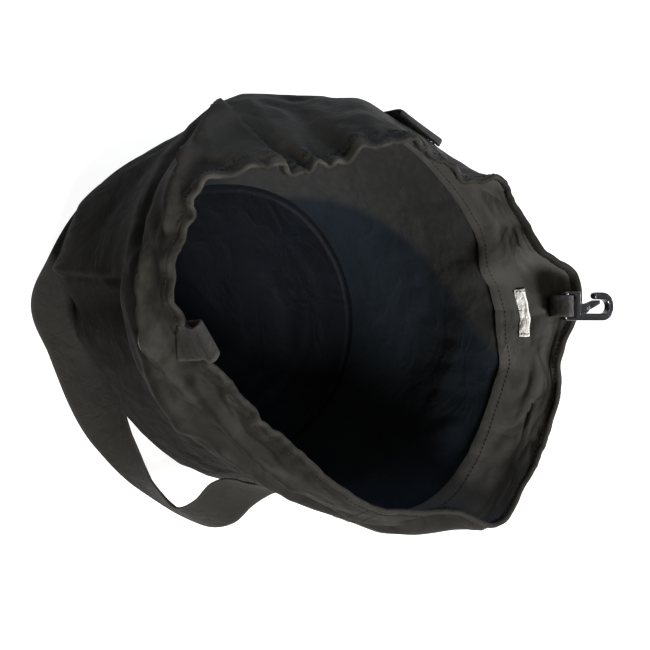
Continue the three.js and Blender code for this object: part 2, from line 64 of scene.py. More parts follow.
# Thickness of cloth and webbing, the gaps between them, and the webbing's place on the wall
CLOTH = 1.6
FACING_CLOTH = 1.2
WEBBING = 2.0
FACING_GAP = 0.25
FACING_ROOM = 0.4
WEBBING_GAP = 1.0
LABEL_GAP = 0.45
LABEL_DEPTH = CLOTH / 2 + FACING_GAP + FACING_CLOTH + LABEL_GAP
OUTSIDE_WALL = CLOTH / 2 + WEBBING_GAP + WEBBING / 2
INSIDE_FACING = -(CLOTH / 2 + FACING_ROOM + FACING_CLOTH + WEBBING_GAP + WEBBING / 2)
SIDE_SEAMS = (4.0, 156.0)


class FoldShape(Enum):
    """How a fold's height falls away from its line."""

    ROUND = "round"
    SHARP = "sharp"
    LAP = "lap"


class WallSection(NamedTuple):
    """One upright section of the wall: radius and height of each ring below the rim."""

    bearing: float
    foot: float
    belly: float
    belly_z: float
    tuck: float
    tuck_z: float
    shoulder: float
    shoulder_z: float


class RimPoint(NamedTuple):
    """One point of the rim."""

    bearing: float
    radius: float
    height: float


class Fold(NamedTuple):
    """A ridge (rise above 0) or crease (below 0) from one place on the wall to another."""

    bearing: float
    climb: float
    to_bearing: float
    to_climb: float
    width: float
    rise: float
    shape: FoldShape = FoldShape.ROUND


class QuietZone(NamedTuple):
    """A place where webbing lies close to the wall, so that the small folds die out."""

    bearing: float
    climb: float
    bearing_spread: float
    climb_spread: float


class StrapStation(NamedTuple):
    """One place along the shoulder strap, and where its outer edge points."""

    bearing: float
    radius: float
    height: float
    toward: float
    lean: float


# Rings of the wall, from the floor to the rim
FOOT_HEIGHT = 0.8
RING_CLIMBS = (0.0, 0.22, 0.46, 0.6, 1.0)
WALL_SECTIONS = [
    WallSection(*row)
    for row in (
        (-180, 120, 158, 62, 168, 116, 172, 146),
        (-160, 119, 160, 56, 168, 110, 173, 138),
        (-142, 118, 161, 50, 160, 106, 164, 138),
        (-124, 119, 168, 42, 152, 112, 158, 152),
        (-108, 120, 160, 40, 143, 118, 153, 158),
        (-92, 117, 146, 32, 127, 126, 148, 160),
        (-72, 110, 132, 42, 122, 130, 136, 162),
        (-48, 107, 128, 54, 119, 130, 123, 164),
        (-24, 110, 128, 58, 118, 132, 124, 168),
        (0, 114, 130, 60, 123, 136, 135, 174),
        (18, 118, 133, 65, 137, 144, 159, 196),
        (34, 120, 136, 70, 145, 152, 168, 212),
        (62, 122, 140, 76, 143, 160, 154, 216),
        (92, 124, 141, 80, 138, 166, 138, 226),
        (122, 124, 146, 78, 146, 156, 144, 212),
        (150, 124, 156, 70, 165, 130, 167, 172),
    )
]
RIM_POINTS = [
    RimPoint(*row)
    for row in (
        (-180, 122, 238), (-168, 113, 233), (-154, 113, 227), (-142, 129, 223),
        (-130, 143, 216), (-114, 139, 210), (-100, 132, 205), (-86, 117, 204),
        (-68, 101, 207), (-48, 96, 211), (-28, 98, 215), (-12, 110, 220),
        (4, 127, 227), (20, 140, 235), (27, 150, 242), (33, 170, 251),
        (46, 166, 252), (58, 160, 255), (72, 149, 262), (84, 139, 271),
        (95, 140, 286), (105, 143, 281), (114, 135, 270), (128, 137, 258),
        (138, 139, 251), (146, 125, 245), (157, 127, 243), (168, 129, 241),
    )
]

# Main folds of the wall
FOLDS = [
    Fold(*row)
    for row in (
        (-100, 0.98, -150, 0.7, 14, 6), (-116, 0.66, -146, 0.6, 12, -7), (-104, 0.02, -103, 0.4, 10, 5),
        (-96, 0.05, -95, 0.42, 12, -5), (-82, 0.7, -58, 0.62, 12, 6), (-70, 0.86, -20, 0.78, 11, 5),
        (-52, 0.74, -4, 0.7, 10, -5), (24, 0.95, 12, 0.7, 10, -5), (178, 0.92, 169, 0.66, 14, 5),
        (-166, 0.95, -176, 0.62, 12, -5), (118, 0.98, 108, 0.5, 14, -5), (70, 0.95, 78, 0.55, 14, 5),
    )
]

# Smaller folds: lapped edges are raised on their left, seen along the fold from outside
LAPPED_FOLDS = (
    (-155.5, 0.64, -132, 0.82, 30, 8), (-132, 0.82, -116, 0.915, 24, 6), (-150, 0.97, -155.5, 0.64, 20, 7),
    (-107, 0.77, -86, 0.735, 20, 7), (-86, 0.735, -67, 0.775, 18, 6), (-105, 0.1, -104.5, 0.47, 34, 8),
)
SMALL_ROUND_FOLDS = ((-119, 0.6, -108, 0.7, 9, -4), (-42, 0.655, -33, 0.65, 6, 3.2))
SHARP_FOLDS = (
    (-158, 0.655, 180, 0.665, 4, 2.4), (-178, 0.83, 170, 0.88, 9, 2.6), (-136, 0.9, -150, 0.64, 5, 2.6),
    (-122, 0.95, -138, 0.72, 6, -2.4), (-108, 0.9, -122, 0.62, 5, 2.0), (-94, 0.86, -104, 0.6, 6, -2.2),
    (-84, 0.96, -78, 0.74, 5, 2.2), (-66, 0.97, -48, 0.86, 4, 1.8), (-56, 0.9, -30, 0.88, 5, -1.9),
    (-40, 0.8, -16, 0.86, 4, 1.8), (-30, 0.66, -2, 0.6, 6, 2.2), (-20, 0.95, 2, 0.84, 4, 1.7),
    (8, 0.96, 14, 0.74, 5, 2.0), (30, 0.9, 40, 0.62, 6, 2.2), (46, 0.96, 52, 0.7, 6, -2.0),
    (96, 0.9, 90, 0.5, 8, 2.4), (128, 0.94, 134, 0.6, 7, 2.2), (146, 0.95, 148, 0.66, 6, -2.2),
    (-172, 0.85, 172, 0.5, 7, 2.2), (-158, 0.88, -164, 0.55, 6, 2.4), (-150, 0.5, -128, 0.3, 8, 2.4),
    (-134, 0.44, -112, 0.36, 7, -2.2), (-80, 0.42, -52, 0.3, 8, 2.0), (-60, 0.5, -30, 0.46, 8, -2.2),
    (-40, 0.24, -14, 0.36, 8, 2.0), (10, 0.4, 40, 0.3, 9, 2.2), (60, 0.36, 88, 0.44, 9, -2.0),
    (106, 0.3, 136, 0.38, 9, 2.0), (150, 0.3, 172, 0.24, 8, -2.0),
)
FINE_FOLDS = [
    Fold(*row, shape)
    for rows, shape in (
        (LAPPED_FOLDS, FoldShape.LAP),
        (SMALL_ROUND_FOLDS, FoldShape.ROUND),
        (SHARP_FOLDS, FoldShape.SHARP),
    )
    for row in rows
]
QUIET_ZONES = (QuietZone(-13, 0.47, 14, 0.1), QuietZone(160, 0.55, 18, 0.33))

# The shoulder strap, from its right end to its left end
STRAP_STATIONS = [
    StrapStation(*row)
    for row in (
        (-12, 123.8, 142, 78, 0), (-16, 128, 122, 76, 12), (-19, 138, 105, 72, 22), (-20, 153, 91, 66, 14),
        (-22, 163, 70, 60, -8), (-26, 161, 47, 48, -38), (-32, 156, 32, 32, -48), (-38, 151, 24, 9, -46),
        (-47, 144, 17, -18, -40), (-57, 138, 9, -46, -20), (-68, 136, 3, -62, -4), (-84, 141, 1.7, -78, 0),
        (-96, 153, 1.7, -92, 0), (-107, 148, 1.7, -113, 0), (-122, 145, 1.7, -127, 0),
        (-140, 144, 1.7, -142, 0), (-158, 145, 2.2, -162, 0), (-174, 150, 7, 178, 8),
        (173, 166, 34, 124, 12), (162, 173, 92, 78, 4), (154, 174, 146, 62, 0),
        (153, 172.8, 174, 60, 0), (154, 165.8, 190, 65, 0), (155.5, 158.6, 197, 69, 0),
    )
]


def smoothstep(value: Array, low: float, high: float) -> Array:
    """Eases from 0 at low to 1 at high."""
    part = np.clip((value - low) / (high - low), 0.0, 1.0)
    return part * part * (3.0 - 2.0 * part)


def cubic(t: Array, first: Array, leaving: Array, last: Array, arriving: Array) -> Array:
    """Cubic between two values with a slope at each end.

    Args:
        t: Places from 0 to 1.
        first: Value at 0.
        leaving: Slope at 0.
        last: Value at 1.
        arriving: Slope at 1.

    Returns:
        The cubic's values.
    """
    t2 = t * t
    t3 = t2 * t
    start = (2 * t3 - 3 * t2 + 1) * first + (t3 - 2 * t2 + t) * leaving
    return start + (3 * t2 - 2 * t3) * last + (t3 - t2) * arriving


def hermite(keys: Sequence[Array], values: Sequence[Array], at: Array) -> Array:
    """Cubic through the middle two of four knots, with slopes from their neighbours.

    Args:
        keys: The four knots' keys.
        values: The four knots' values.
        at: Where to read the cubic.

    Returns:
        The cubic's values.
    """
    span = keys[2] - keys[1]
    leaving = (values[2] - values[0]) / (keys[2] - keys[0]) * span
    arriving = (values[3] - values[1]) / (keys[3] - keys[1]) * span
    return cubic((at - keys[1]) / span, values[1], leaving, values[2], arriving)


def loop_value(keys: Array, values: Array, at: Array) -> Array:
    """Cubic interpolation on a loop of one turn.

    Args:
        keys: Rising bearings of the rows.
        values: One value per row.
        at: Bearings to read.

    Returns:
        The interpolated values.
    """
    count = len(keys)
    place = keys[0] + np.mod(at - keys[0], TURN)
    first = np.searchsorted(keys, place, side="right") - 1
    rows = [first - 1, first, first + 1, first + 2]
    knots = [keys[row % count] + (row // count) * TURN for row in rows]
    return hermite(knots, [values[row % count] for row in rows], place)


def turn_between(start: float, end: Array) -> Array:
    """Shortest signed turn from one bearing to another, in degrees."""
    return np.mod(end - start + TURN / 2, TURN) - TURN / 2


def lattice_noise(u: Array, v: Array, around: int, up: int, seed: int) -> Array:
    """Smooth noise on a grid that closes round the bag.

    Args:
        u: Place round the bag, from 0 to 1.
        v: Place up the wall, from 0 to 1.
        around: Cells round the bag.
        up: Cells up the wall.
        seed: Seed of the grid's values.

    Returns:
        Noise from -1 to 1.
    """
    grid = np.random.default_rng(seed).uniform(-1.0, 1.0, (up + 2, around))
    x = np.mod(u, 1.0) * around
    y = np.clip(v, 0.0, 1.0) * up
    i = np.floor(x).astype(int)
    j = np.floor(y).astype(int)
    fx = smoothstep(x - i, 0.0, 1.0)
    fy = smoothstep(y - j, 0.0, 1.0)
    low = grid[j, i % around] * (1 - fx) + grid[j, (i + 1) % around] * fx
    high = grid[j + 1, i % around] * (1 - fx) + grid[j + 1, (i + 1) % around] * fx
    return low * (1 - fy) + high * fy


def swelling(u: Array, v: Array, around: int, up: int, seed: int) -> Array:
    """Lattice noise from 0.1 to 1."""
    return 0.55 + 0.45 * lattice_noise(u, v, around, up, seed)


def creasing(u: Array, v: Array, around: int, up: int, seed: int) -> Array:
    """Lattice noise with sharp ridges, from -1 to 1."""
    return 1.0 - 2.0 * np.abs(lattice_noise(u, v, around, up, seed))


def unit(vectors: Array) -> Array:
    """The vectors at length 1."""
    return vectors / np.maximum(np.linalg.norm(vectors, axis=-1, keepdims=True), 1e-12)


def bearing_direction(bearing: Array, lean: Array) -> Array:
    """Unit directions from bearings and leans.

    Args:
        bearing: Bearings, in degrees.
        lean: Leans above the floor, in degrees.

    Returns:
        One direction per bearing.
    """
    turn = np.radians(bearing)
    tip = np.radians(lean)
    return np.stack([np.cos(tip) * np.cos(turn), np.cos(tip) * np.sin(turn), np.sin(tip)], axis=-1)


class CatmullRom:
    """A centripetal Catmull-Rom curve through points."""

    def __init__(self, points: Array) -> None:
        """Keeps the points, with one more past each end.

        Args:
            points: The points that the curve passes through.
        """
        first = 2 * points[0] - points[1]
        last = 2 * points[-1] - points[-2]
        self.points = np.vstack([first, points, last])

    def read(self, along: Array) -> Array:
        """Points on the curve.

        Args:
            along: Places from 0 to 1, even from point to point.

        Returns:
            One point per place.
        """
        spans = len(self.points) - 3
        place = np.clip(along, 0.0, 1.0) * spans
        i = np.minimum(np.floor(place).astype(int), spans - 1)
        a, b, c, d = (self.points[i + k] for k in range(4))
        lengths = [np.linalg.norm(q - p, axis=1, keepdims=True) for p, q in ((a, b), (b, c), (c, d))]
        before, here, after = (np.maximum(np.sqrt(length), 1e-6) for length in lengths)
        leaving = ((b - a) / before - (c - a) / (before + here) + (c - b) / here) * here
        arriving = ((c - b) / here - (d - b) / (here + after) + (d - c) / after) * here
        return cubic((place - i)[:, None], b, leaving, c, arriving)


@dataclass
class WallForm:
    """The middle surface of the bag's wall, with its folds, gathers and creases.

    Bearings are in degrees: 0 right, 90 back, -90 front. Climbs run from 0 at the floor to 1 at the rim.
    Steps are a turn and a climb over which slopes are read.
    """

    smooth_foot: float = 0.16
    unrolled_radius: float = 145.0
    unrolled_height: float = 290.0
    gather_height: float = 2.2
    gather_waves: int = 22
    gather_from: float = 0.72
    gather_mean: float = 0.6
    gather_swing: float = 0.4
    pucker_height: float = 2.2
    pucker_waves: int = 46
    pucker_wander: float = 3.0
    pucker_from: float = 0.87
    pucker_bearing: float = -165.0
    calm_bearing: float = 102.0
    calm_spread: float = 36.0
    calm_share: float = 0.7
    crimp_height: float = 1.0
    crimp_from: float = 0.93
    crimp_ease: float = 0.03
    ridge_height: float = 0.75
    fine_height: float = 0.3
    soft_height: float = 1.2
    sharp_tip: float = 0.02
    lap_fade: float = 9.0
    lap_edge: float = 1.8
    fine_low: float = 0.08
    fine_high: float = 0.26
    coarse_step: tuple[float, float] = (1.5, 0.012)
    close_step: tuple[float, float] = (0.35, 0.004)

    def plain(self, bearing: Array, climb: Array) -> Array:
        """The wall without its folds.

        Args:
            bearing: Bearings, in degrees.
            climb: Climbs of the same shape.

        Returns:
            Points, in millimetres.
        """
        table = np.array(WALL_SECTIONS, float).T
        rim = np.array(RIM_POINTS, float).T
        foot, belly, belly_z, tuck, tuck_z, shoulder, shoulder_z = (
            loop_value(table[0], column, bearing) for column in table[1:]
        )
        rim_radius, rim_z = (loop_value(rim[0], column, bearing) for column in rim[1:])
        foot_z = np.full(bearing.shape, FOOT_HEIGHT)
        radius = self._profile(np.stack([foot, belly, tuck, shoulder, rim_radius]), climb)
        height = self._profile(np.stack([foot_z, belly_z, tuck_z, shoulder_z, rim_z]), climb)
        turn = np.radians(bearing)
        return np.stack([radius * np.cos(turn), radius * np.sin(turn), height], axis=-1)

    @staticmethod
    def _profile(rings: Array, climb: Array) -> Array:
        """One column of the wall's profile at the climbs.

        Args:
            rings: The column's value on each ring.
            climb: Climbs to read.

        Returns:
            The interpolated values.
        """
        knots = np.array(RING_CLIMBS)
        knots = np.concatenate([[2 * knots[0] - knots[1]], knots, [2 * knots[-1] - knots[-2]]])
        values = np.concatenate([[2 * rings[0] - rings[1]], rings, [2 * rings[-1] - rings[-2]]])
        i = np.clip(np.searchsorted(RING_CLIMBS, climb, side="right"), 1, len(RING_CLIMBS) - 1)
        rows = [i + k for k in (-1, 0, 1, 2)]
        picked = [np.take_along_axis(values, row[None], axis=0)[0] for row in rows]
        return hermite([knots[row] for row in rows], picked, climb)

    def fold_height(self, fold: Fold, bearing: Array, climb: Array) -> Array:
        """How far one fold lifts the wall.

        Args:
            fold: The fold.
            bearing: Bearings, in degrees.
            climb: Climbs of the same shape.

        Returns:
            Lifts, in millimetres.
        """
        scale = math.radians(1.0) * self.unrolled_radius
        x = turn_between(fold.bearing, bearing) * scale
        y = (climb - fold.climb) * self.unrolled_height
        end_x = float(turn_between(fold.bearing, np.array(fold.to_bearing))) * scale
        end_y = (fold.to_climb - fold.climb) * self.unrolled_height
        length = math.hypot(end_x, end_y)
        part = (x * end_x + y * end_y) / length**2
        held = np.clip(part, 0.0, 1.0)
        away = np.hypot(x - held * end_x, y - held * end_y) / fold.width
        if fold.shape is FoldShape.ROUND:
            return fold.rise * np.exp(-(away**2))
        if fold.shape is FoldShape.SHARP:
            taper = np.sqrt(np.sin(np.pi * np.clip(part, self.sharp_tip, 1.0 - self.sharp_tip)))
            return fold.rise * taper * np.exp(-np.sqrt(away**2 + self.sharp_tip))
        side = (y * end_x - x * end_y) / length
        past = np.maximum(np.maximum(-part, part - 1.0), 0.0) * length
        plateau = np.exp(-np.maximum(side, 0.0) / fold.width) * np.exp(-((past / self.lap_fade) ** 2))
        return fold.rise * plateau * smoothstep(side, -self.lap_edge, self.lap_edge)

    def left_share(self, bearing: Array) -> Array:
        """Share of the rim's gathers at each bearing: full on the left, little on the right."""
        return self.gather_mean + self.gather_swing * np.cos(np.radians(bearing - self.pucker_bearing))

    def main_lift(self, bearing: Array, climb: Array) -> Array:
        """How far the main folds and the gathers lift the wall.

        Args:
            bearing: Bearings, in degrees.
            climb: Climbs of the same shape.

        Returns:
            Lifts, in millimetres.
        """
        total = sum(self.fold_height(fold, bearing, climb) for fold in FOLDS)
        total = total * smoothstep(climb, 0.0, self.smooth_foot)
        waves = np.sin(np.radians(bearing) * self.gather_waves) * self.left_share(bearing)
        return total + smoothstep(climb, self.gather_from, 1.0) * self.gather_height * waves

    def fine_lift(self, bearing: Array, climb: Array) -> Array:
        """How far small folds, puckers and creases lift the wall.

        Args:
            bearing: Bearings, in degrees.
            climb: Climbs of the same shape.

        Returns:
            Lifts, in millimetres.
        """
        total = sum(self.fold_height(fold, bearing, climb) for fold in FINE_FOLDS)
        u = bearing / TURN
        calm = np.exp(-((turn_between(self.calm_bearing, bearing) / self.calm_spread) ** 2))
        left = self.left_share(bearing) * (1.0 - self.calm_share * calm)
        wander = self.pucker_wander * lattice_noise(u, climb, 34, 3, SEED)
        pucker = np.sin(np.radians(bearing) * self.pucker_waves + wander)
        pucker = pucker * swelling(u, climb, 21, 2, SEED + 1)
        total = total + smoothstep(climb, self.pucker_from, 1.0) * self.pucker_height * left * pucker
        crimped = smoothstep(climb, self.crimp_from, self.crimp_from + self.crimp_ease)
        total = total + crimped * self.crimp_height * left * creasing(u, climb, 150, 46, SEED + 5)
        ridges = self.ridge_height * creasing(u, climb, 40, 13, SEED + 2)
        fine = self.fine_height * lattice_noise(u, climb, 96, 30, SEED + 3)
        total = total + (ridges + fine + self.soft_height * lattice_noise(u, climb, 22, 7, SEED + 4))
        for zone in QUIET_ZONES:
            across = turn_between(zone.bearing, bearing) / zone.bearing_spread
            above = (climb - zone.climb) / zone.climb_spread
            total = total * (1.0 - np.exp(-(across**2) - above**2))
        return total * smoothstep(climb, self.fine_low, self.fine_high)

    @staticmethod
    def slopes(
        surface: Callable[[Array, Array], Array], bearing: Array, climb: Array, step: tuple[float, float]
    ) -> tuple[Array, Array]:
        """Directions round and up a surface.

        Args:
            surface: Reads the surface's points.
            bearing: Bearings, in degrees.
            climb: Climbs of the same shape.
            step: Turn and climb to either side.

        Returns:
            Directions round it and directions up it.
        """
        turn, rise = step
        around = surface(bearing + turn, climb) - surface(bearing - turn, climb)
        above = surface(bearing, np.minimum(climb + rise, 1.0))
        return around, above - surface(bearing, np.maximum(climb - rise, 0.0))

    def points(self, bearing: Array, climb: Array) -> Array:
        """Points on the wall's middle surface.

        Args:
            bearing: Bearings, in degrees.
            climb: Climbs of the same shape.

        Returns:
            Points, in millimetres.
        """
        normal = unit(np.cross(*self.slopes(self.plain, bearing, climb, self.coarse_step)))
        lift = self.main_lift(bearing, climb) + self.fine_lift(bearing, climb)
        return self.plain(bearing, climb) + normal * lift[..., None]

    def frames(self, bearing: Array, climb: Array) -> tuple[Array, Array, Array]:
        """Points with their outward and upward directions.

        Args:
            bearing: Bearings, in degrees.
            climb: Climbs, shaped to go with the bearings.

        Returns:
            Points, outward directions and upward directions.
        """
        bearing, climb = (np.array(a, float) for a in np.broadcast_arrays(bearing, climb))
        around, up = self.slopes(self.points, bearing, climb, self.close_step)
        return self.points(bearing, climb), unit(np.cross(around, up)), unit(up)

    def off(self, bearing: Array | float, climb: Array | float, offset: Array | float) -> Array:
        """Points at offsets outward from the wall, in millimetres."""
        point, outward, _ = self.frames(bearing, climb)
        return point + outward * np.asarray(offset, float)[..., None]


WALL = WallForm()


# Meshes


def ring_faces(rows: int, columns: int, close_rows: bool, close_columns: bool) -> Array:
    """Quads of a grid of vertices stored row by row.

    Args:
        rows: Number of rows.
        columns: Number of vertices in each row.
        close_rows: Whether the last row joins the first.
        close_columns: Whether the last column joins the first.

    Returns:
        One row of four indices per quad.
    """
    down = np.arange(rows if close_rows else rows - 1)
    along = np.arange(columns if close_columns else columns - 1)
    j, i = (part.ravel() for part in np.meshgrid(down, along, indexing="ij"))
    j2 = (j + 1) % rows
    i2 = (i + 1) % columns
    return np.stack([j * columns + i, j * columns + i2, j2 * columns + i2, j2 * columns + i], axis=1)


def tube_faces(rows: int, columns: int) -> list[list[int]]:
    """Faces of a tube of rings with both ends closed.

    Args:
        rows: Number of rings.
        columns: Number of vertices in each ring.

    Returns:
        Vertex indices of each face.
    """
    first = list(range(columns))[::-1]
    last = list(range((rows - 1) * columns, rows * columns))
    return [*ring_faces(rows, columns, False, True).tolist(), first, last]


def cloth_map(rings: Array, bearings: Array) -> Array:
    """The map of a sheet of rings, in millimetres of cloth.

    Args:
        rings: Points of each ring.
        bearings: Bearings of the columns.

    Returns:
        One map point per vertex.
    """
    step = np.linalg.norm(np.diff(rings, axis=0), axis=2).mean(axis=1)
    along = np.concatenate([[0.0], np.cumsum(step)])
    across = (bearings + TURN / 2) / TURN * math.tau * WALL.unrolled_radius
    return np.stack(np.broadcast_arrays(across[None, :], along[:, None]), axis=-1).reshape(-1, 2)


def placed(name: str, data: bpy.types.ID) -> bpy.types.Object:
    """A new object at the origin, linked to the scene.

    Args:
        name: The object's name.
        data: Its mesh, curve, lamp or camera.

    Returns:
        The object.
    """
    made = bpy.data.objects.new(name, data)
    bpy.context.scene.collection.objects.link(made)
    return made


def plain_mesh(source: bpy.types.Object, name: str) -> bpy.types.Mesh:
    """The finished shape of a curve or of an object with a modifier, which is then removed.

    Args:
        source: The object.
        name: The mesh's name.

    Returns:
        The plain mesh.
    """
    bpy.context.view_layer.update()
    mesh = bpy.data.meshes.new_from_object(source.evaluated_get(bpy.context.evaluated_depsgraph_get()))
    bpy.data.objects.remove(source)
    mesh.name = name
    return mesh


def mesh_object(
    name: str,
    points: Array,
    faces: Sequence[Sequence[int]],
    materials: Sequence[bpy.types.Material],
    uv: Array | None = None,
    wear: Array | None = None,
) -> bpy.types.Object:
    """A smooth mesh object at the origin.

    Args:
        name: The piece's name.
        points: Vertices, in millimetres.
        faces: Vertex indices of each face.
        materials: Its materials.
        uv: One map point per vertex, in millimetres of cloth, or none.
        wear: Wear and painted light of each vertex, from 0 to 1, or none.

    Returns:
        The new object.
    """
    mesh = bpy.data.meshes.new(name)
    mesh.from_pydata((np.asarray(points) * MM).tolist(), [], [list(map(int, face)) for face in faces])
    if uv is not None:
        layer = mesh.uv_layers.new(name=WEAVE_MAP)
        index = np.empty(len(mesh.loops), int)
        mesh.loops.foreach_get("vertex_index", index)
        layer.data.foreach_set("uv", np.asarray(uv, float)[index].ravel())
    if wear is not None:
        mask = mesh.attributes.new(WEAR_AND_LIGHT_MASK, "FLOAT", "POINT")
        mask.data.foreach_set("value", np.asarray(wear, float).ravel())
    mesh.polygons.foreach_set("use_smooth", np.ones(len(mesh.polygons), bool))
    mesh.validate()
    mesh.update()
    for material in materials:
        mesh.materials.append(material)
    return placed(name, mesh)


def join_piece(piece: bpy.types.Object, body: str, slot: str, *nodes: str) -> None:
    """Ties a finished piece to its body and hides the solids that it stands for.

    Args:
        piece: The finished piece.
        body: The body that it rides on.
        slot: The record's material slot; not used.
        nodes: Names of the solids that it replaces.
    """
    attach(piece, body)
    if nodes:
        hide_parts(*nodes)
    LOG.info("piece %s on %s, for %s", piece.name, body, ", ".join(nodes) or "its own detail")


# Finishes


class NodeBoard:
    """Adds and links nodes in one tree."""

    def __init__(self, tree: bpy.types.NodeTree) -> None:
        """Keeps the tree."""
        self.tree = tree

    def add(self, kind: str, inputs: dict | None = None, **values: object) -> bpy.types.Node:
        """A new node.

        Args:
            kind: The node's type name.
            inputs: A socket or a value for each named or numbered input.
            values: Properties to set on it.

        Returns:
            The node.
        """
        node = self.tree.nodes.new(kind)
        for key, value in values.items():
            setattr(node, key, value)
        self.feed(node, inputs or {})
        return node

    def feed(self, node: bpy.types.Node, inputs: dict) -> None:
        """Links or sets a node's inputs.

        Args:
            node: The node.
            inputs: A socket or a value for each named or numbered input.
        """
        for key, value in inputs.items():
            if isinstance(value, bpy.types.NodeSocket):
                self.tree.links.new(value, node.inputs[key])
            else:
                node.inputs[key].default_value = value

    def math(self, operation: str, *values: object) -> bpy.types.NodeSocket:
        """The result of a math node on sockets or numbers."""
        return self.add("ShaderNodeMath", dict(enumerate(values)), operation=operation).outputs[0]

    def mix(self, share: object, first: object, second: object, blend: str = "MIX") -> bpy.types.NodeSocket:
        """The result of a colour mix."""
        inputs = {0: share, 6: first, 7: second}
        return self.add("ShaderNodeMix", inputs, data_type="RGBA", blend_type=blend).outputs[2]


class GroupBoard(NodeBoard):
    """A board on a new node group, with the group's input sockets and output node."""

    def __init__(self, name: str, kind: str, takes: dict[str, str], gives: dict[str, str]) -> None:
        """Makes the group.

        Args:
            name: The group's name.
            kind: The tree's type name.
            takes: Kind of each input socket.
            gives: Kind of each output socket.
        """
        super().__init__(bpy.data.node_groups.new(name, kind))
        for way, sockets in (("INPUT", takes), ("OUTPUT", gives)):
            for label, form in sockets.items():
                self.tree.interface.new_socket(label, in_out=way, socket_type="NodeSocket" + form)
        self.given = self.add("NodeGroupInput").outputs
        self.result = self.add("NodeGroupOutput")


def weave_group() -> bpy.types.NodeTree:
    """The shared weave: yarns that cross over and under, read on the cloth's own map.

    Returns:
        A group with Map and pitch inputs, and Height and Gap outputs.
    """
    name = "crossed_yarns"
    if name in bpy.data.node_groups:
        return bpy.data.node_groups[name]
    takes = {"Map": "Vector", "Across Pitch": "Float", "Along Pitch": "Float"}
    board = GroupBoard(name, "ShaderNodeTree", takes, {"Height": "Float", "Gap": "Float"})
    split = board.add("ShaderNodeSeparateXYZ", {0: board.given["Map"]}).outputs
    waves = []
    for axis, pitch in (("X", "Across Pitch"), ("Y", "Along Pitch")):
        yarns = board.math("DIVIDE", split[axis], board.given[pitch])
        waves.append(board.math("SINE", board.math("MULTIPLY", yarns, math.tau)))
    crossed = board.math("MULTIPLY", *waves)
    height = board.math("MULTIPLY_ADD", crossed, 0.5, 0.5)
    gap = board.math("POWER", board.math("SUBTRACT", 1.0, board.math("ABSOLUTE", crossed)), 3.0)
    board.feed(board.result, {"Height": height, "Gap": gap})
    return board.tree


def mottle_group() -> bpy.types.NodeTree:
    """The shared mottle: slow and quick changes, scuffs and creases over a rubbed surface.

    Returns:
        A group with Place and Size inputs, and Slow, Quick, Scuff and Crease outputs.
    """
    name = "worn_mottle"
    if name in bpy.data.node_groups:
        return bpy.data.node_groups[name]
    gives = dict.fromkeys(("Slow", "Quick", "Scuff", "Crease"), "Float")
    board = GroupBoard(name, "ShaderNodeTree", {"Place": "Vector", "Size": "Float"}, gives)
    outputs = {}
    # Name, scale, detail, roughness and bend of each noise
    kinds = (("Slow", 1.0, 3.0, 0.6, 0.0), ("Quick", 9.0, 5.0, 0.6, 0.0), ("Scuff", 24.0, 8.0, 0.6, 0.0))
    for label, factor, detail, roughness, bend in (*kinds, ("Crease", 4.5, 3.0, 0.5, 0.6)):
        noise = board.add("ShaderNodeTexNoise", {"Vector": board.given["Place"], "Detail": detail})
        scale = board.math("DIVIDE", factor, board.given["Size"])
        board.feed(noise, {"Scale": scale, "Roughness": roughness, "Distortion": bend})
        outputs[label] = noise.outputs["Fac"]
    for label, _, _, _, _ in kinds:
        eased = {"Value": outputs[label], "From Min": 0.3, "From Max": 0.7}
        outputs[label] = board.add("ShaderNodeMapRange", eased).outputs["Result"]
    ridge = board.math("ABSOLUTE", board.math("SUBTRACT", outputs["Crease"], 0.5))
    outputs["Crease"] = board.math("SUBTRACT", 1.0, board.math("MULTIPLY", ridge, 4.0))
    board.feed(board.result, outputs)
    return board.tree


def opaque(shade: Sequence[float]) -> tuple[float, ...]:
    """The shade with full cover."""
    return (*shade, 1.0)


def new_material(name: str) -> tuple[bpy.types.Material, NodeBoard, bpy.types.Node]:
    """A new material.

    Args:
        name: The material's name.

    Returns:
        The material, its board and its shader.
    """
    made = bpy.data.materials.new(name)
    made.use_nodes = True
    return made, NodeBoard(made.node_tree), made.node_tree.nodes["Principled BSDF"]


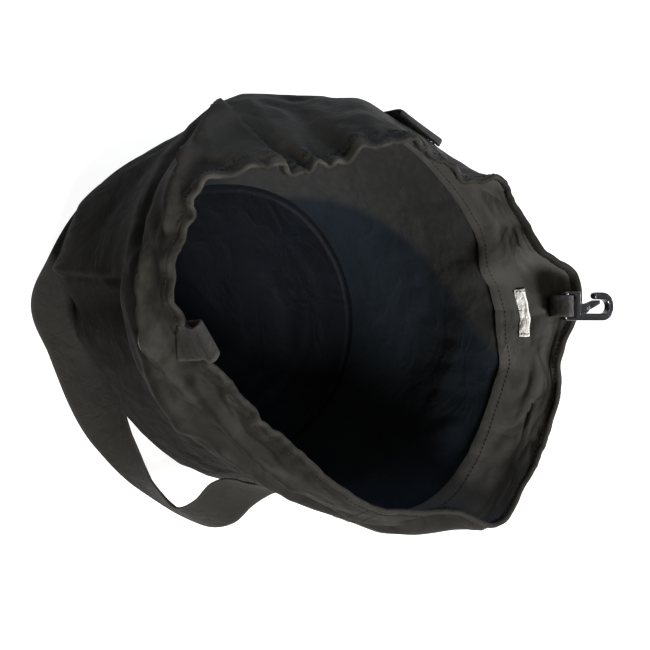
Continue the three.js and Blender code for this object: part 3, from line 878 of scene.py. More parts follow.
@dataclass(frozen=True)
class ClothFinish:
    """A woven cloth or webbing: two shades, weave, sheen, and a rubbed shade that also carries painted light.
    """

    name: str
    shade: Shade
    lit_shade: Shade
    roughness: float
    sheen: float
    across_pitch: float
    along_pitch: float
    weave_depth: float
    # Warm shade for rubbed places and painted light; its warm tint stands in for warm light falling on the
    # cloth.
    worn_and_lit_shade: Shade = (0.04, 0.038, 0.0335)
    mottle_size: float = 0.16
    crease_depth: float = 0.0012
    gap_shade: Shade = (0.25, 0.25, 0.25)
    gap_share: float = 0.45
    slow_share: float = 0.6
    quick_share: float = 0.4
    rub_least: float = 0.5
    rub_range: float = 0.4
    scuff_range: float = 0.16
    crease_strength: float = 0.7
    weave_strength: float = 0.8
    sheen_roughness: float = 0.45
    specular: float = 0.04

    def material(self) -> bpy.types.Material:
        """The finish as a material.

        Returns:
            The material, made once.
        """
        if self.name in bpy.data.materials:
            return bpy.data.materials[self.name]
        made, board, shader = new_material(self.name)
        place = board.add("ShaderNodeTexCoord").outputs
        yarns = {"Map": place["UV"], "Across Pitch": self.across_pitch, "Along Pitch": self.along_pitch}
        weave = board.add("ShaderNodeGroup", yarns, node_tree=weave_group()).outputs
        worn_by = {"Place": place["Object"], "Size": self.mottle_size}
        mottle = board.add("ShaderNodeGroup", worn_by, node_tree=mottle_group()).outputs
        quick = board.math("MULTIPLY", mottle["Quick"], self.quick_share)
        mixed = board.math("MULTIPLY_ADD", mottle["Slow"], self.slow_share, quick)
        tint = board.mix(mixed, opaque(self.shade), opaque(self.lit_shade))
        # The mask mixes in the second shade: real rubbing on webbing edges and ridges, painted light on the
        # shell's upper wall and rim, and the lining's charcoal share.
        mask = board.add("ShaderNodeAttribute", attribute_name=WEAR_AND_LIGHT_MASK).outputs["Fac"]
        patchy = board.math("MULTIPLY_ADD", mottle["Scuff"], self.rub_range, self.rub_least)
        worn_and_lit = board.mix(board.math("MULTIPLY", mask, patchy), tint, opaque(self.worn_and_lit_shade))
        gaps = board.math("MULTIPLY", weave["Gap"], self.gap_share)
        rough = self.roughness - self.scuff_range / 2
        crease = {"Strength": self.crease_strength, "Distance": self.crease_depth, "Height": mottle["Crease"]}
        relief = {
            "Strength": self.weave_strength,
            "Distance": self.weave_depth,
            "Height": weave["Height"],
            "Normal": board.add("ShaderNodeBump", crease).outputs["Normal"],
        }
        finish = {
            "Base Color": board.mix(gaps, worn_and_lit, opaque(self.gap_shade), "MULTIPLY"),
            "Roughness": board.math("MULTIPLY_ADD", mottle["Scuff"], self.scuff_range, rough),
            "Normal": board.add("ShaderNodeBump", relief).outputs["Normal"],
            "Sheen Weight": self.sheen,
            "Sheen Roughness": self.sheen_roughness,
            "Specular IOR Level": self.specular,
        }
        board.feed(shader, finish)
        return made


@dataclass(frozen=True)
class PlasticFinish:
    """A glossy moulded plastic with faint flow marks and scuffed edges."""

    name: str
    shade: Shade
    roughness: float
    scuffed: float = 2.2
    scuff_share: float = 0.5
    scuff_range: float = 0.14
    mottle_size: float = 0.02
    flow_depth: float = 0.0002
    flow_strength: float = 0.25
    coat: float = 0.4
    coat_roughness: float = 0.12

    def material(self) -> bpy.types.Material:
        """The finish as a material.

        Returns:
            The material, made once.
        """
        if self.name in bpy.data.materials:
            return bpy.data.materials[self.name]
        made, board, shader = new_material(self.name)
        place = board.add("ShaderNodeTexCoord").outputs
        worn_by = {"Place": place["Object"], "Size": self.mottle_size}
        mottle = board.add("ShaderNodeGroup", worn_by, node_tree=mottle_group()).outputs
        scuff = board.math("MULTIPLY", mottle["Scuff"], self.scuff_share)
        scuffed = [self.scuffed * c for c in self.shade]
        flow = {"Strength": self.flow_strength, "Distance": self.flow_depth, "Height": mottle["Quick"]}
        finish = {
            "Base Color": board.mix(scuff, opaque(self.shade), opaque(scuffed)),
            "Roughness": board.math("MULTIPLY_ADD", mottle["Scuff"], self.scuff_range, self.roughness),
            "Normal": board.add("ShaderNodeBump", flow).outputs["Normal"],
            "Coat Weight": self.coat,
            "Coat Roughness": self.coat_roughness,
        }
        board.feed(shader, finish)
        return made


SHELL_CLOTH = ClothFinish(
    "charcoal_shell_cloth", (0.0018, 0.0018, 0.0017), (0.0042, 0.004, 0.0034), 0.5, 0.01, 0.9, 0.9, 0.00008
)
FACING_FINISH = ClothFinish(
    "charcoal_facing_cloth", (0.052, 0.0515, 0.049), (0.074, 0.0725, 0.068), 0.5, 0.03, 0.8, 0.8, 0.00008
)
# Dark lining cloth, darkened further as painted shade and tinted blue as painted bounce light; its charcoal
# second shade is the lining where that painted blue is left out.
LINING = ClothFinish(
    "dark_lining_cloth", (0.006, 0.0084, 0.0114), (0.0115, 0.0165, 0.0232), 0.48, 0.02, 0.8, 0.8, 0.00008,
    worn_and_lit_shade=(0.03, 0.0296, 0.0284),
)
# Base cloth kept darker than the lining as painted shade on the bag's floor.
BASE_FINISH = ClothFinish(
    "dark_base_cloth", (0.0028, 0.0035, 0.005), (0.0048, 0.0062, 0.0088), 0.5, 0.01, 0.9, 0.9, 0.00008
)
WEBBING_FINISH = ClothFinish(
    "ribbed_webbing", (0.0125, 0.0125, 0.012), (0.0195, 0.0192, 0.018), 0.65, 0.03, 1.9, 1.3, 0.0003,
    mottle_size=0.07,
)
TAB_WEBBING = ClothFinish(
    "black_tab_webbing", (0.009, 0.009, 0.009), (0.015, 0.0148, 0.0142), 0.6, 0.03, 1.5, 1.1, 0.0002,
    mottle_size=0.05,
)
LABEL_FINISH = ClothFinish(
    "white_label_cloth", (0.74, 0.74, 0.74), (0.86, 0.86, 0.85), 0.7, 0.1, 0.7, 0.45, 0.00005,
    worn_and_lit_shade=(0.6, 0.6, 0.58), mottle_size=0.03,
)
THREAD = ClothFinish(
    "charcoal_thread", (0.012, 0.012, 0.012), (0.02, 0.02, 0.0195), 0.55, 0.03, 0.5, 0.5, 0.00005,
    mottle_size=0.02,
)
HOOK_PLASTIC = PlasticFinish("glossy_black_plastic", (0.004, 0.004, 0.0045), 0.16)


# The cloth bag


@dataclass
class ClothShell:
    """The wall from its foot, over the rolled rim, to the turned hem and the lined inside."""

    columns: int = 460
    low_rows: int = 66
    high_rows: int = 22
    high_from: float = 0.9
    roll_steps: int = 8
    hem_offset: float = -3.0
    hem_climb: float = 0.966
    lit_from: float = 0.4
    lit_to: float = 0.78
    upper_painted_light: float = 0.22
    rim_painted_light: float = 0.45
    low_rub_in_shade: float = 0.15
    full_rub: float = 6.0
    most_rub: float = 0.4
    shade_climb: float = 0.51
    shade_slope: float = 0.0068
    shade_bearing: float = 83.0
    shade_soft: float = 0.03
    shade_starts: tuple[float, float] = (60.0, 80.0)
    shade_ends: tuple[float, float] = (172.0, 200.0)

    def wear(self, bearings: Array, climbs: Array) -> Array:
        """Wear and painted light of the outside: rubbed ridges, painted light that rises above the shoulder
        and is strongest on the rolled rim, and painted shade that dims the ridges low on the wall.

        Args:
            bearings: Bearings of the columns.
            climbs: Climbs of the rows.

        Returns:
            Wear and painted light from 0 to 1, row by row.
        """
        # Painted light: the upper wall and the rolled rim are lightened as if lit from above; ridges low on
        # the wall keep less of their rub, as painted shade.
        high = smoothstep(climbs, self.lit_from, self.lit_to)
        rolled = smoothstep(climbs, self.hem_climb, 1.0)
        painted_light = np.maximum(self.upper_painted_light * high, self.rim_painted_light * rolled)
        rubbed = self.low_rub_in_shade + (1.0 - self.low_rub_in_shade) * high
        lift = WALL.fine_lift(*np.broadcast_arrays(bearings[None, :], climbs[:, None]))
        ridge = np.clip(lift / self.full_rub, 0.0, self.most_rub) * rubbed[:, None]
        return np.minimum(ridge + painted_light[:, None], 1.0)

    def lining_shade(self, bearings: Array, climbs: Array) -> Array:
        """Share of plain charcoal in the lining, where its painted blue shade is left out: full on the left
        back wall, above a slanting edge.

        Args:
            bearings: Bearings of the columns.
            climbs: Climbs of the rows.

        Returns:
            Shares from 0 to 1, row by row.
        """
        turn = np.mod(bearings[None, :], TURN)
        edge = self.shade_climb - self.shade_slope * (turn - self.shade_bearing)
        above = smoothstep(climbs[:, None] - edge, -self.shade_soft, self.shade_soft)
        return above * smoothstep(turn, *self.shade_starts) * (1.0 - smoothstep(turn, *self.shade_ends))

    def build(self) -> bpy.types.Object:
        """The shell as one closed sheet.

        Returns:
            The shell's object.
        """
        low = np.linspace(0.0, self.high_from, self.low_rows, endpoint=False)
        climbs = np.concatenate([low, np.linspace(self.high_from, 1.0, self.high_rows)])
        bearings = np.linspace(-180.0, 180.0, self.columns, endpoint=False)
        points, outward, up = WALL.frames(bearings[None, :], climbs[:, None])
        top = len(climbs) - 1
        hem = int(np.searchsorted(climbs, self.hem_climb))
        half = CLOTH / 2
        middle = (half + self.hem_offset) / 2
        reach = (half - self.hem_offset) / 2
        section = [(row, half, 0.0) for row in range(top + 1)]
        for step in range(1, self.roll_steps):
            turn = math.pi * step / self.roll_steps
            section.append((top, middle + reach * math.cos(turn), reach * math.sin(turn)))
        section += [(row, self.hem_offset, 0.0) for row in range(top, hem - 1, -1)]
        lining_from = len(section)
        section += [(row, -half, 0.0) for row in range(hem, -1, -1)]
        rows = [row for row, _, _ in section]
        rings = np.stack([points[r] + outward[r] * offset + up[r] * rise for r, offset, rise in section])
        wear = self.wear(bearings, climbs)[rows]
        # The lining's mask is painted light only: the charcoal share where the painted blue shade is left
        # out.
        wear[lining_from:] = self.lining_shade(bearings, climbs)[rows[lining_from:]]
        faces = ring_faces(len(section), self.columns, True, True)
        materials = (SHELL_CLOTH.material(), LINING.material())
        uv = cloth_map(rings, bearings)
        made = mesh_object("cloth_shell", rings.reshape(-1, 3), faces, materials, uv, wear)
        inside = faces[:, 0] // self.columns >= lining_from
        made.data.polygons.foreach_set("material_index", inside.astype(int))
        return made

    def dress(self) -> None:
        """Builds the shell and ties it to the bag."""
        join_piece(self.build(), BAG_BODY, "shell_cloth", "front_panel", "back_panel")


@dataclass
class RimFacing:
    """The turned-in band inside the rim, loose along its lower edge."""

    columns: int = 440
    rows: int = 34
    low: float = 8 / 15
    high: float = 0.962
    stand: float = 2.6
    loose: float = 0.12
    edge_steps: int = 5

    def near(self, bearings: Array, climbs: Array) -> Array:
        """Offset of the band's side towards the wall.

        Args:
            bearings: Bearings, in degrees.
            climbs: Climbs of the same shape.

        Returns:
            Offsets, in millimetres.
        """
        loose = 1.0 - smoothstep(climbs, self.low, self.low + self.loose)
        away = self.stand * loose * swelling(bearings / TURN, climbs, 17, 2, SEED + 7)
        return -(CLOTH / 2 + FACING_GAP) - away

    def build(self) -> bpy.types.Object:
        """The band as one closed sheet.

        Returns:
            The band's object.
        """
        climbs = np.linspace(self.low, self.high, self.rows)
        bearings = np.linspace(-180.0, 180.0, self.columns, endpoint=False)
        points, outward, up = WALL.frames(bearings[None, :], climbs[:, None])
        near = self.near(*np.broadcast_arrays(bearings[None, :], climbs[:, None]))
        far = near - FACING_CLOTH
        half = FACING_CLOTH / 2
        edge = []
        for step in range(1, self.edge_steps):
            turn = math.pi * step / self.edge_steps
            offset = (near[0] + far[0]) / 2 + half * math.cos(turn)
            edge.append(points[0] + outward[0] * offset[:, None] - up[0] * half * math.sin(turn))
        near_side = points + outward * near[..., None]
        rings = np.stack([*near_side[::-1], *edge, *(points + outward * far[..., None])])
        faces = ring_faces(len(rings), self.columns, True, True)[:, ::-1]
        uv = cloth_map(rings, bearings)
        return mesh_object("rim_facing", rings.reshape(-1, 3), faces, [FACING_FINISH.material()], uv)

    def dress(self) -> None:
        """Builds the band and ties it to the bag."""
        join_piece(self.build(), BAG_BODY, "facing_cloth", "front_facing", "back_facing")


@dataclass
class BaseCloth:
    """The cloth bottom, with its seam edge turned up inside the wall."""

    columns: int = 240
    rings: int = 26
    middle: float = 0.0005
    room: float = 1.6
    turn_from: float = 0.012
    turn_up: float = 0.019
    turn_rows: int = 4
    inner_gap: float = 0.8
    outer_gap: float = 0.3
    thickness: float = 2.0
    sag: float = 2.4

    def build(self) -> bpy.types.Object:
        """The bottom as one closed sheet.

        Returns:
            The bottom's object.
        """
        bearings = np.linspace(-180.0, 180.0, self.columns, endpoint=False)
        foot = WALL.plain(bearings, np.zeros(self.columns))
        reach = np.hypot(foot[:, 0], foot[:, 1]) - CLOTH / 2 - self.room
        turn = np.radians(bearings)
        upper = []
        lower = []
        for fraction in np.sqrt(np.linspace(self.middle, 1.0, self.rings)):
            x = reach * fraction * np.cos(turn)
            y = reach * fraction * np.sin(turn)
            part = np.full(self.columns, fraction)
            ripple = self.sag * lattice_noise(bearings / TURN, part, 9, 6, SEED + 9)
            level = self.thickness + np.abs(ripple) * math.sin(math.pi * fraction)
            upper.append(np.stack([x, y, level], axis=-1))
            lower.append(np.stack([x, y, 0 * turn], axis=-1))
        climbs = np.linspace(self.turn_from, self.turn_up, self.turn_rows)
        inner = [WALL.off(bearings, climb, -(CLOTH / 2 + self.inner_gap)) for climb in climbs]
        outer = [WALL.off(bearings, climb, -(CLOTH / 2 + self.outer_gap)) for climb in climbs]
        rows = [*upper, *inner, *outer[::-1], *lower[::-1]]
        faces = [face[::-1] for face in tube_faces(len(rows), self.columns)]
        flat = np.concatenate(rows)
        return mesh_object("base_cloth", flat, faces, [BASE_FINISH.material()], flat[:, :2])

    def dress(self) -> None:
        """Builds the bottom and ties it to the bag."""
        join_piece(self.build(), BAG_BODY, "shell_cloth", "base_panel")


# Webbing


def ribbon_frame(centres: Array, acrosses: Array) -> tuple[Array, Array]:
    """Directions across and through a length of webbing.

    Args:
        centres: Its middle line.
        acrosses: Where its width points.

    Returns:
        Unit directions across it and through it.
    """
    tangent = unit(np.gradient(centres, axis=0))
    across = unit(acrosses - tangent * (acrosses * tangent).sum(axis=1, keepdims=True))
    return across, np.cross(across, tangent)


@dataclass
class Ribbon:
    """A length of webbing along a line, with rounded selvedges and a slight crown."""

    name: str
    centres: Array
    acrosses: Array
    width: float
    finish: ClothFinish = WEBBING_FINISH
    thickness: float = WEBBING
    flat_steps: int = 12
    edge_steps: int = 4
    crown: float = 0.25
    low_crown: float = 0.6
    edge_wear: float = 0.7

    def profile(self) -> Array:
        """The cross-section, round once.

        Returns:
            Pairs of places across and through the webbing.
        """
        half = self.thickness / 2
        side = self.width / 2 - half
        flat = np.linspace(-side, side, self.flat_steps)
        crown = self.crown * (1.0 - (flat / side) ** 2)
        turns = np.linspace(0.0, math.pi, self.edge_steps + 2)[1:-1]
        top = np.stack([flat, half + crown], axis=1)
        right = np.stack([side + half * np.sin(turns), half * np.cos(turns)], axis=1)
        low = np.stack([flat[::-1], -half + self.low_crown * crown[::-1]], axis=1)
        return np.concatenate([top, right, low, -right])

    def build(self) -> bpy.types.Object:
        """The webbing as a closed mesh.

        Returns:
            The webbing's object.
        """
        across, through = ribbon_frame(self.centres, self.acrosses)
        outline = self.profile()
        wide = across[:, None, :] * outline[None, :, 0:1]
        grid = self.centres[:, None, :] + wide + through[:, None, :] * outline[None, :, 1:2]
        steps = np.linalg.norm(np.diff(self.centres, axis=0), axis=1)
        along = np.concatenate([[0.0], np.cumsum(steps)])
        uv = np.stack(np.broadcast_arrays(outline[None, :, 0], along[:, None]), axis=-1).reshape(-1, 2)
        edge = smoothstep(np.abs(outline[:, 0]), self.width / 2 - 2 * self.thickness, self.width / 2)
        wear = np.broadcast_to(self.edge_wear * edge[None, :], grid.shape[:2])
        faces = tube_faces(len(grid), len(outline))
        return mesh_object(self.name, grid.reshape(-1, 3), faces, [self.finish.material()], uv, wear)


@dataclass
class ShoulderStrap:
    """The wide strap, sewn at both sides and dropped round the front of the bag."""

    width: float = 38.0
    steps: int = 420

    def line(self) -> tuple[Array, Array]:
        """The strap's run.

        Returns:
            Its middle line and the way its outer edge points.
        """
        rows = np.array(STRAP_STATIONS, float)
        points = bearing_direction(rows[:, 0], 0 * rows[:, 0]) * rows[:, 1:2]
        points[:, 2] = rows[:, 2]
        along = np.linspace(0.0, 1.0, self.steps)
        edge = CatmullRom(bearing_direction(rows[:, 3], rows[:, 4]))
        return CatmullRom(points).read(along), edge.read(along)

    def dress(self) -> None:
        """Builds the strap and ties it to the bag."""
        made = Ribbon("shoulder_webbing", *self.line(), self.width, flat_steps=20).build()
        join_piece(made, BAG_BODY, "webbing", "shoulder_strap")


@dataclass
class KeeperLoop:
    """The narrow loop that straddles the front rim."""

    bearing: float = -85.0
    side: float = 4.0
    width: float = 25.0
    leg_low: float = 0.9
    stand: float = 20.0
    bulge: float = 4.0
    leg_steps: int = 8
    arch_steps: int = 30

    def line(self) -> tuple[Array, Array]:
        """The loop's run, over the rim.

        Returns:
            Its middle line and its width's direction.
        """
        middle = (OUTSIDE_WALL + INSIDE_FACING) / 2
        half = (OUTSIDE_WALL - INSIDE_FACING) / 2
        leg = np.linspace(self.leg_low, 1.0, self.leg_steps, endpoint=False)
        turn = np.linspace(0.0, math.pi, self.arch_steps)
        reach = half * np.cos(turn) * (1.0 + self.bulge * np.sin(turn) ** 2)
        climbs = np.concatenate([leg, np.ones(self.arch_steps), leg[::-1]])
        offsets = np.concatenate([0 * leg + OUTSIDE_WALL, middle + reach, 0 * leg + INSIDE_FACING])
        rise = np.concatenate([0 * leg, self.stand * np.sin(turn), 0 * leg])
        sides = []
        for bearing in (self.bearing - self.side, self.bearing, self.bearing + self.side):
            line = WALL.off(bearing, climbs, offsets)
            line[:, 2] += rise
            sides.append(line)
        return np.mean(sides, axis=0), sides[2] - sides[0]

    def dress(self) -> None:
        """Builds the loop and ties it to the bag."""
        made = Ribbon("keeper_webbing", *self.line(), self.width).build()
        join_piece(made, BAG_BODY, "webbing", "keeper_loop")


@dataclass
class SnapHook:
    """The plastic hook: eye block, spine, round bow, nose, lugs and pin, with its spring gate."""

    place: tuple[float, float, float] = (-13.0, 126.5, 289.2)
    tilt: float = 6.0
    width: float = 20.0
    thickness: float = 6.0
    rail: float = 5.2
    corner: float = 3.0
    eye_end: float = -6.0
    slot: tuple[float, float] = (-2.5, 3.0)
    slot_width: float = 16.0
    neck: float = 8.0
    bow_centre: float = 27.0
    nose_end: float = 22.0
    pivot: tuple[float, float] = (11.8, 1.4)
    pin: float = 1.5
    pin_proud: float = 0.2
    barrel: float = 3.0
    bore: float = 1.8
    lug: float = 3.4
    lug_root: float = 1.0
    gate_thickness: float = 3.0
    cheek: float = 1.2
    arm: float = 2.8
    tip: float = 25.5
    gap: float = 0.4
    body_bevel: float = 1.3
    gate_bevel: float = 0.5
    small_bevel: float = 0.3
    bevel_steps: int = 3
    weld: float = 0.002
    flat: float = 0.999
    smooth_angle: float = 40.0

    def basis(self) -> Matrix:
        """The hook's place: l outward and up, b to the right, n down.

        Returns:
            The matrix from the hook's own l, b, n into the bag's frame.
        """
        turn = math.radians(self.tilt)
        columns = ((0, math.cos(turn), math.sin(turn)), (1, 0, 0), (0, math.sin(turn), -math.cos(turn)))
        basis = Matrix(columns).transposed().to_4x4()
        basis.translation = self.place
        return basis

    def world(self, points: Array) -> Array:
        """Points from the hook's own l, b, n into the bag's frame."""
        basis = np.array(self.basis())
        return points @ basis[:3, :3].T + basis[:3, 3]

    @staticmethod
    def arc(centre: Sequence[float], radius: float, start: float, end: float, steps: int = 14) -> Outline:
        """Points on an arc between two angles, in degrees."""
        turns = np.radians(np.linspace(start, end, steps))
        return [(centre[0] + radius * math.cos(t), centre[1] + radius * math.sin(t)) for t in turns]

    def circle(self, radius: float) -> Outline:
        """A circle round the pivot."""
        return self.arc(self.pivot, radius, 0, 345, 24)

    def body_outline(self) -> Outline:
        """The flat outline of the eye block, spine, bow and nose.

        Returns:
            The outline's points.
        """
        half = self.width / 2
        inner = half - self.rail
        bow = (self.bow_centre, 0.0)
        points = [(self.neck, -half), (self.neck, inner)]
        points += self.arc(bow, inner, 90, -90, 24)
        points += self.arc((self.nose_end, -(half + inner) / 2), self.rail / 2, 90, 270)
        points += self.arc(bow, half, -90, 90, 32)
        points += self.arc((self.eye_end + self.corner, half - self.corner), self.corner, 90, 180)
        points += self.arc((self.eye_end + self.corner, -half + self.corner), self.corner, 180, 270)
        return points

    def slot_outline(self) -> Outline:
        """The slot of the eye."""
        side = self.slot_width / 2
        return [(self.slot[0], -side), (self.slot[0], side), (self.slot[1], side), (self.slot[1], -side)]

    def lug_outline(self) -> Outline:
        """The lug that carries the gate's pin.

        Returns:
            The outline's points.
        """
        root = self.neck - self.lug_root
        b = self.pivot[1]
        return [(root, b - self.lug), *self.arc(self.pivot, self.lug, -90, 90), (root, b + self.lug)]

    def gate_outline(self) -> Outline:
        """The gate's barrel and arm as one outline.

        Returns:
            The outline's points.
        """
        rest = -(self.width / 2 - self.rail) + self.gap
        arm = [(self.nose_end - self.rail / 2, rest), (self.tip, rest), (self.tip, rest + self.arm)]
        return [*self.arc(self.pivot, self.barrel, 62, 268, 22), *arm]

    def plate(
        self, name: str, outlines: Sequence[Outline], low: float, high: float, bevel: float
    ) -> bpy.types.Object:
        """A closed plate with rounded edges from flat outlines.

        Args:
            name: Name of the mesh.
            outlines: The outer outline, then any holes.
            low: Lower level through the hook.
            high: Upper level through the hook.
            bevel: Radius of its edges.

        Returns:
            The plate's object, in the bag's frame.
        """
        curve = bpy.data.curves.new(name, "CURVE")
        curve.dimensions = "2D"
        curve.fill_mode = "BOTH"
        curve.extrude = (high - low) / 2 - bevel
        curve.bevel_depth = bevel
        curve.bevel_resolution = self.bevel_steps
        curve.offset = -bevel
        for outline in outlines:
            spline = curve.splines.new("POLY")
            spline.points.add(len(outline) - 1)
            spline.points.foreach_set("co", [c for x, y in outline for c in (x, y, 0.0, 1.0)])
            spline.use_cyclic_u = True
        mesh = plain_mesh(placed(name, curve), name)
        form = bmesh.new()
        form.from_mesh(mesh)
        bmesh.ops.remove_doubles(form, verts=form.verts, dist=self.weld)
        bmesh.ops.recalc_face_normals(form, faces=form.faces)
        for face in form.faces:
            face.smooth = abs(face.normal.z) < self.flat
        form.to_mesh(mesh)
        form.free()
        mesh.transform(Matrix.Translation((0, 0, (low + high) / 2)))
        mesh.transform(Matrix.Scale(MM, 4) @ self.basis())
        return placed(name, mesh)

    def join(self, parts: list[bpy.types.Object]) -> bpy.types.Object:
        """One object from several, smoothed by angle.

        Args:
            parts: The objects to join.

        Returns:
            The first object, holding all the meshes.
        """
        first = parts[0]
        chosen = {"active_object": first, "selected_editable_objects": parts, "selected_objects": parts}
        with bpy.context.temp_override(**chosen):
            bpy.ops.object.join()
        first.data.materials.clear()
        first.data.materials.append(HOOK_PLASTIC.material())
        first.data.set_sharp_from_angle(angle=math.radians(self.smooth_angle))
        return first

    def dress(self) -> None:
        """Builds the hook and its gate, and ties each to its body."""
        top = self.thickness / 2
        body = [self.body_outline(), self.slot_outline()]
        parts = [self.plate("hook_moulding", body, -top, top, self.body_bevel)]
        lug = [self.lug_outline()]
        for low in (-top, top - self.cheek):
            parts.append(self.plate("hook_lug", lug, low, low + self.cheek, self.small_bevel))
        proud = top + self.pin_proud
        parts.append(self.plate("hook_pin", [self.circle(self.pin)], -proud, proud, self.small_bevel))
        join_piece(self.join(parts), BAG_BODY, "hook_plastic", "hook_body")
        half = self.gate_thickness / 2
        gate = [self.gate_outline(), self.circle(self.bore)]
        parts = [self.plate("hook_spring_gate", gate, -half, half, self.gate_bevel)]
        join_piece(self.join(parts), GATE_BODY, "hook_plastic", "hook_gate")


@dataclass
class HookTab:
    """The webbing tab that runs up the back facing, round the bar of the hook's eye and back down."""

    hook: SnapHook
    width: float = 15.0
    leg_low: float = 0.8
    leg_high: float = 0.88
    tail_high: float = 0.83
    soft: float = 1.0
    tail: float = 2.0
    gap: float = 0.4
    steps: int = 120

    def line(self) -> tuple[Array, Array]:
        """The tab's run, from the facing round the bar and back.

        Returns:
            Its middle line and its width's direction.
        """
        hook = self.hook
        bearing = math.degrees(math.atan2(hook.place[1], hook.place[0]))
        bar = hook.thickness / 2 + 2 * self.gap + WEBBING / 2
        slot = hook.slot[0] + 2 * self.gap + WEBBING / 2
        second = INSIDE_FACING - WEBBING - 2 * self.gap
        climbs = np.array([self.leg_low, self.leg_high, self.tail_high, self.leg_low])
        on_wall = WALL.off(bearing, climbs, np.array([INSIDE_FACING, INSIDE_FACING, second, second]))
        in_hook = [
            (hook.eye_end, -bar),
            (hook.slot[0] - self.gap, -bar),
            (slot, self.soft - bar),
            (slot, bar - self.soft),
            (hook.slot[0] - self.gap, bar),
            (hook.eye_end, bar),
            (hook.eye_end - WEBBING - self.soft, 0.0),
            (hook.eye_end - WEBBING - self.gap, -bar - self.tail),
        ]
        round_bar = hook.world(np.array([(l, 0.0, -up) for l, up in in_hook]))
        points = np.vstack([on_wall[:2], round_bar, on_wall[2:]])
        line = CatmullRom(points).read(np.linspace(0.0, 1.0, self.steps))
        return line, np.tile([1.0, 0.0, 0.0], (self.steps, 1))

    def dress(self) -> None:
        """Builds the tab and ties it to the bag."""
        made = Ribbon("hook_tab_webbing", *self.line(), self.width, TAB_WEBBING, flat_steps=8).build()
        join_piece(made, BAG_BODY, "webbing", "hook_tab")


@dataclass
class SewnLabel:
    """The blank white label inside the back facing."""

    bearing: float = 94.0
    width: float = 36.0
    height: float = 14.0
    low: float = 0.6
    high: float = 0.66
    columns: int = 40
    rows: int = 14
    thickness: float = 0.7
    ripple: float = 0.3
    half_waves: int = 3

    def grid(self) -> tuple[Array, Array]:
        """The label's place.

        Returns:
            Bearings and climbs of its points.
        """
        foot = WALL.plain(np.array([self.bearing]), np.array([self.low]))
        span = math.degrees(self.width / float(np.linalg.norm(foot[0, :2])))
        bearings = self.bearing + np.linspace(-0.5, 0.5, self.columns) * span
        return np.broadcast_arrays(bearings[None, :], np.linspace(self.low, self.high, self.rows)[:, None])

    def build(self) -> bpy.types.Object:
        """The label as a closed sheet.

        Returns:
            The label's object.
        """
        bearings, climbs = self.grid()
        waves = np.sin(np.linspace(0, self.half_waves * math.pi, self.columns))[None, :] ** 2
        near = np.broadcast_to(-LABEL_DEPTH - self.ripple * waves, bearings.shape)
        sides = [WALL.off(bearings, climbs, offset) for offset in (near, near - self.thickness)]
        count = self.rows * self.columns
        front = ring_faces(self.rows, self.columns, False, False)
        back = front[:, ::-1] + count
        index = np.arange(count).reshape(self.rows, self.columns)
        loop = np.concatenate([index[0], index[1:, -1], index[-1, -2::-1], index[-2:0:-1, 0]])
        after = np.roll(loop, -1)
        edge = np.stack([loop, loop + count, after + count, after], axis=1)
        flat = np.vstack([side.reshape(-1, 3) for side in sides])
        across, along = np.meshgrid(
            np.linspace(0, self.width, self.columns), np.linspace(0, self.height, self.rows)
        )
        uv = np.tile(np.stack([across.ravel(), along.ravel()], axis=1), (2, 1))
        return mesh_object("blank_label", flat, np.vstack([front, back, edge]), [LABEL_FINISH.material()], uv)

    def dress(self) -> None:
        """Builds the label and ties it to the bag."""
        join_piece(self.build(), BAG_BODY, "label_cloth", "sewn_label")


# Stitching


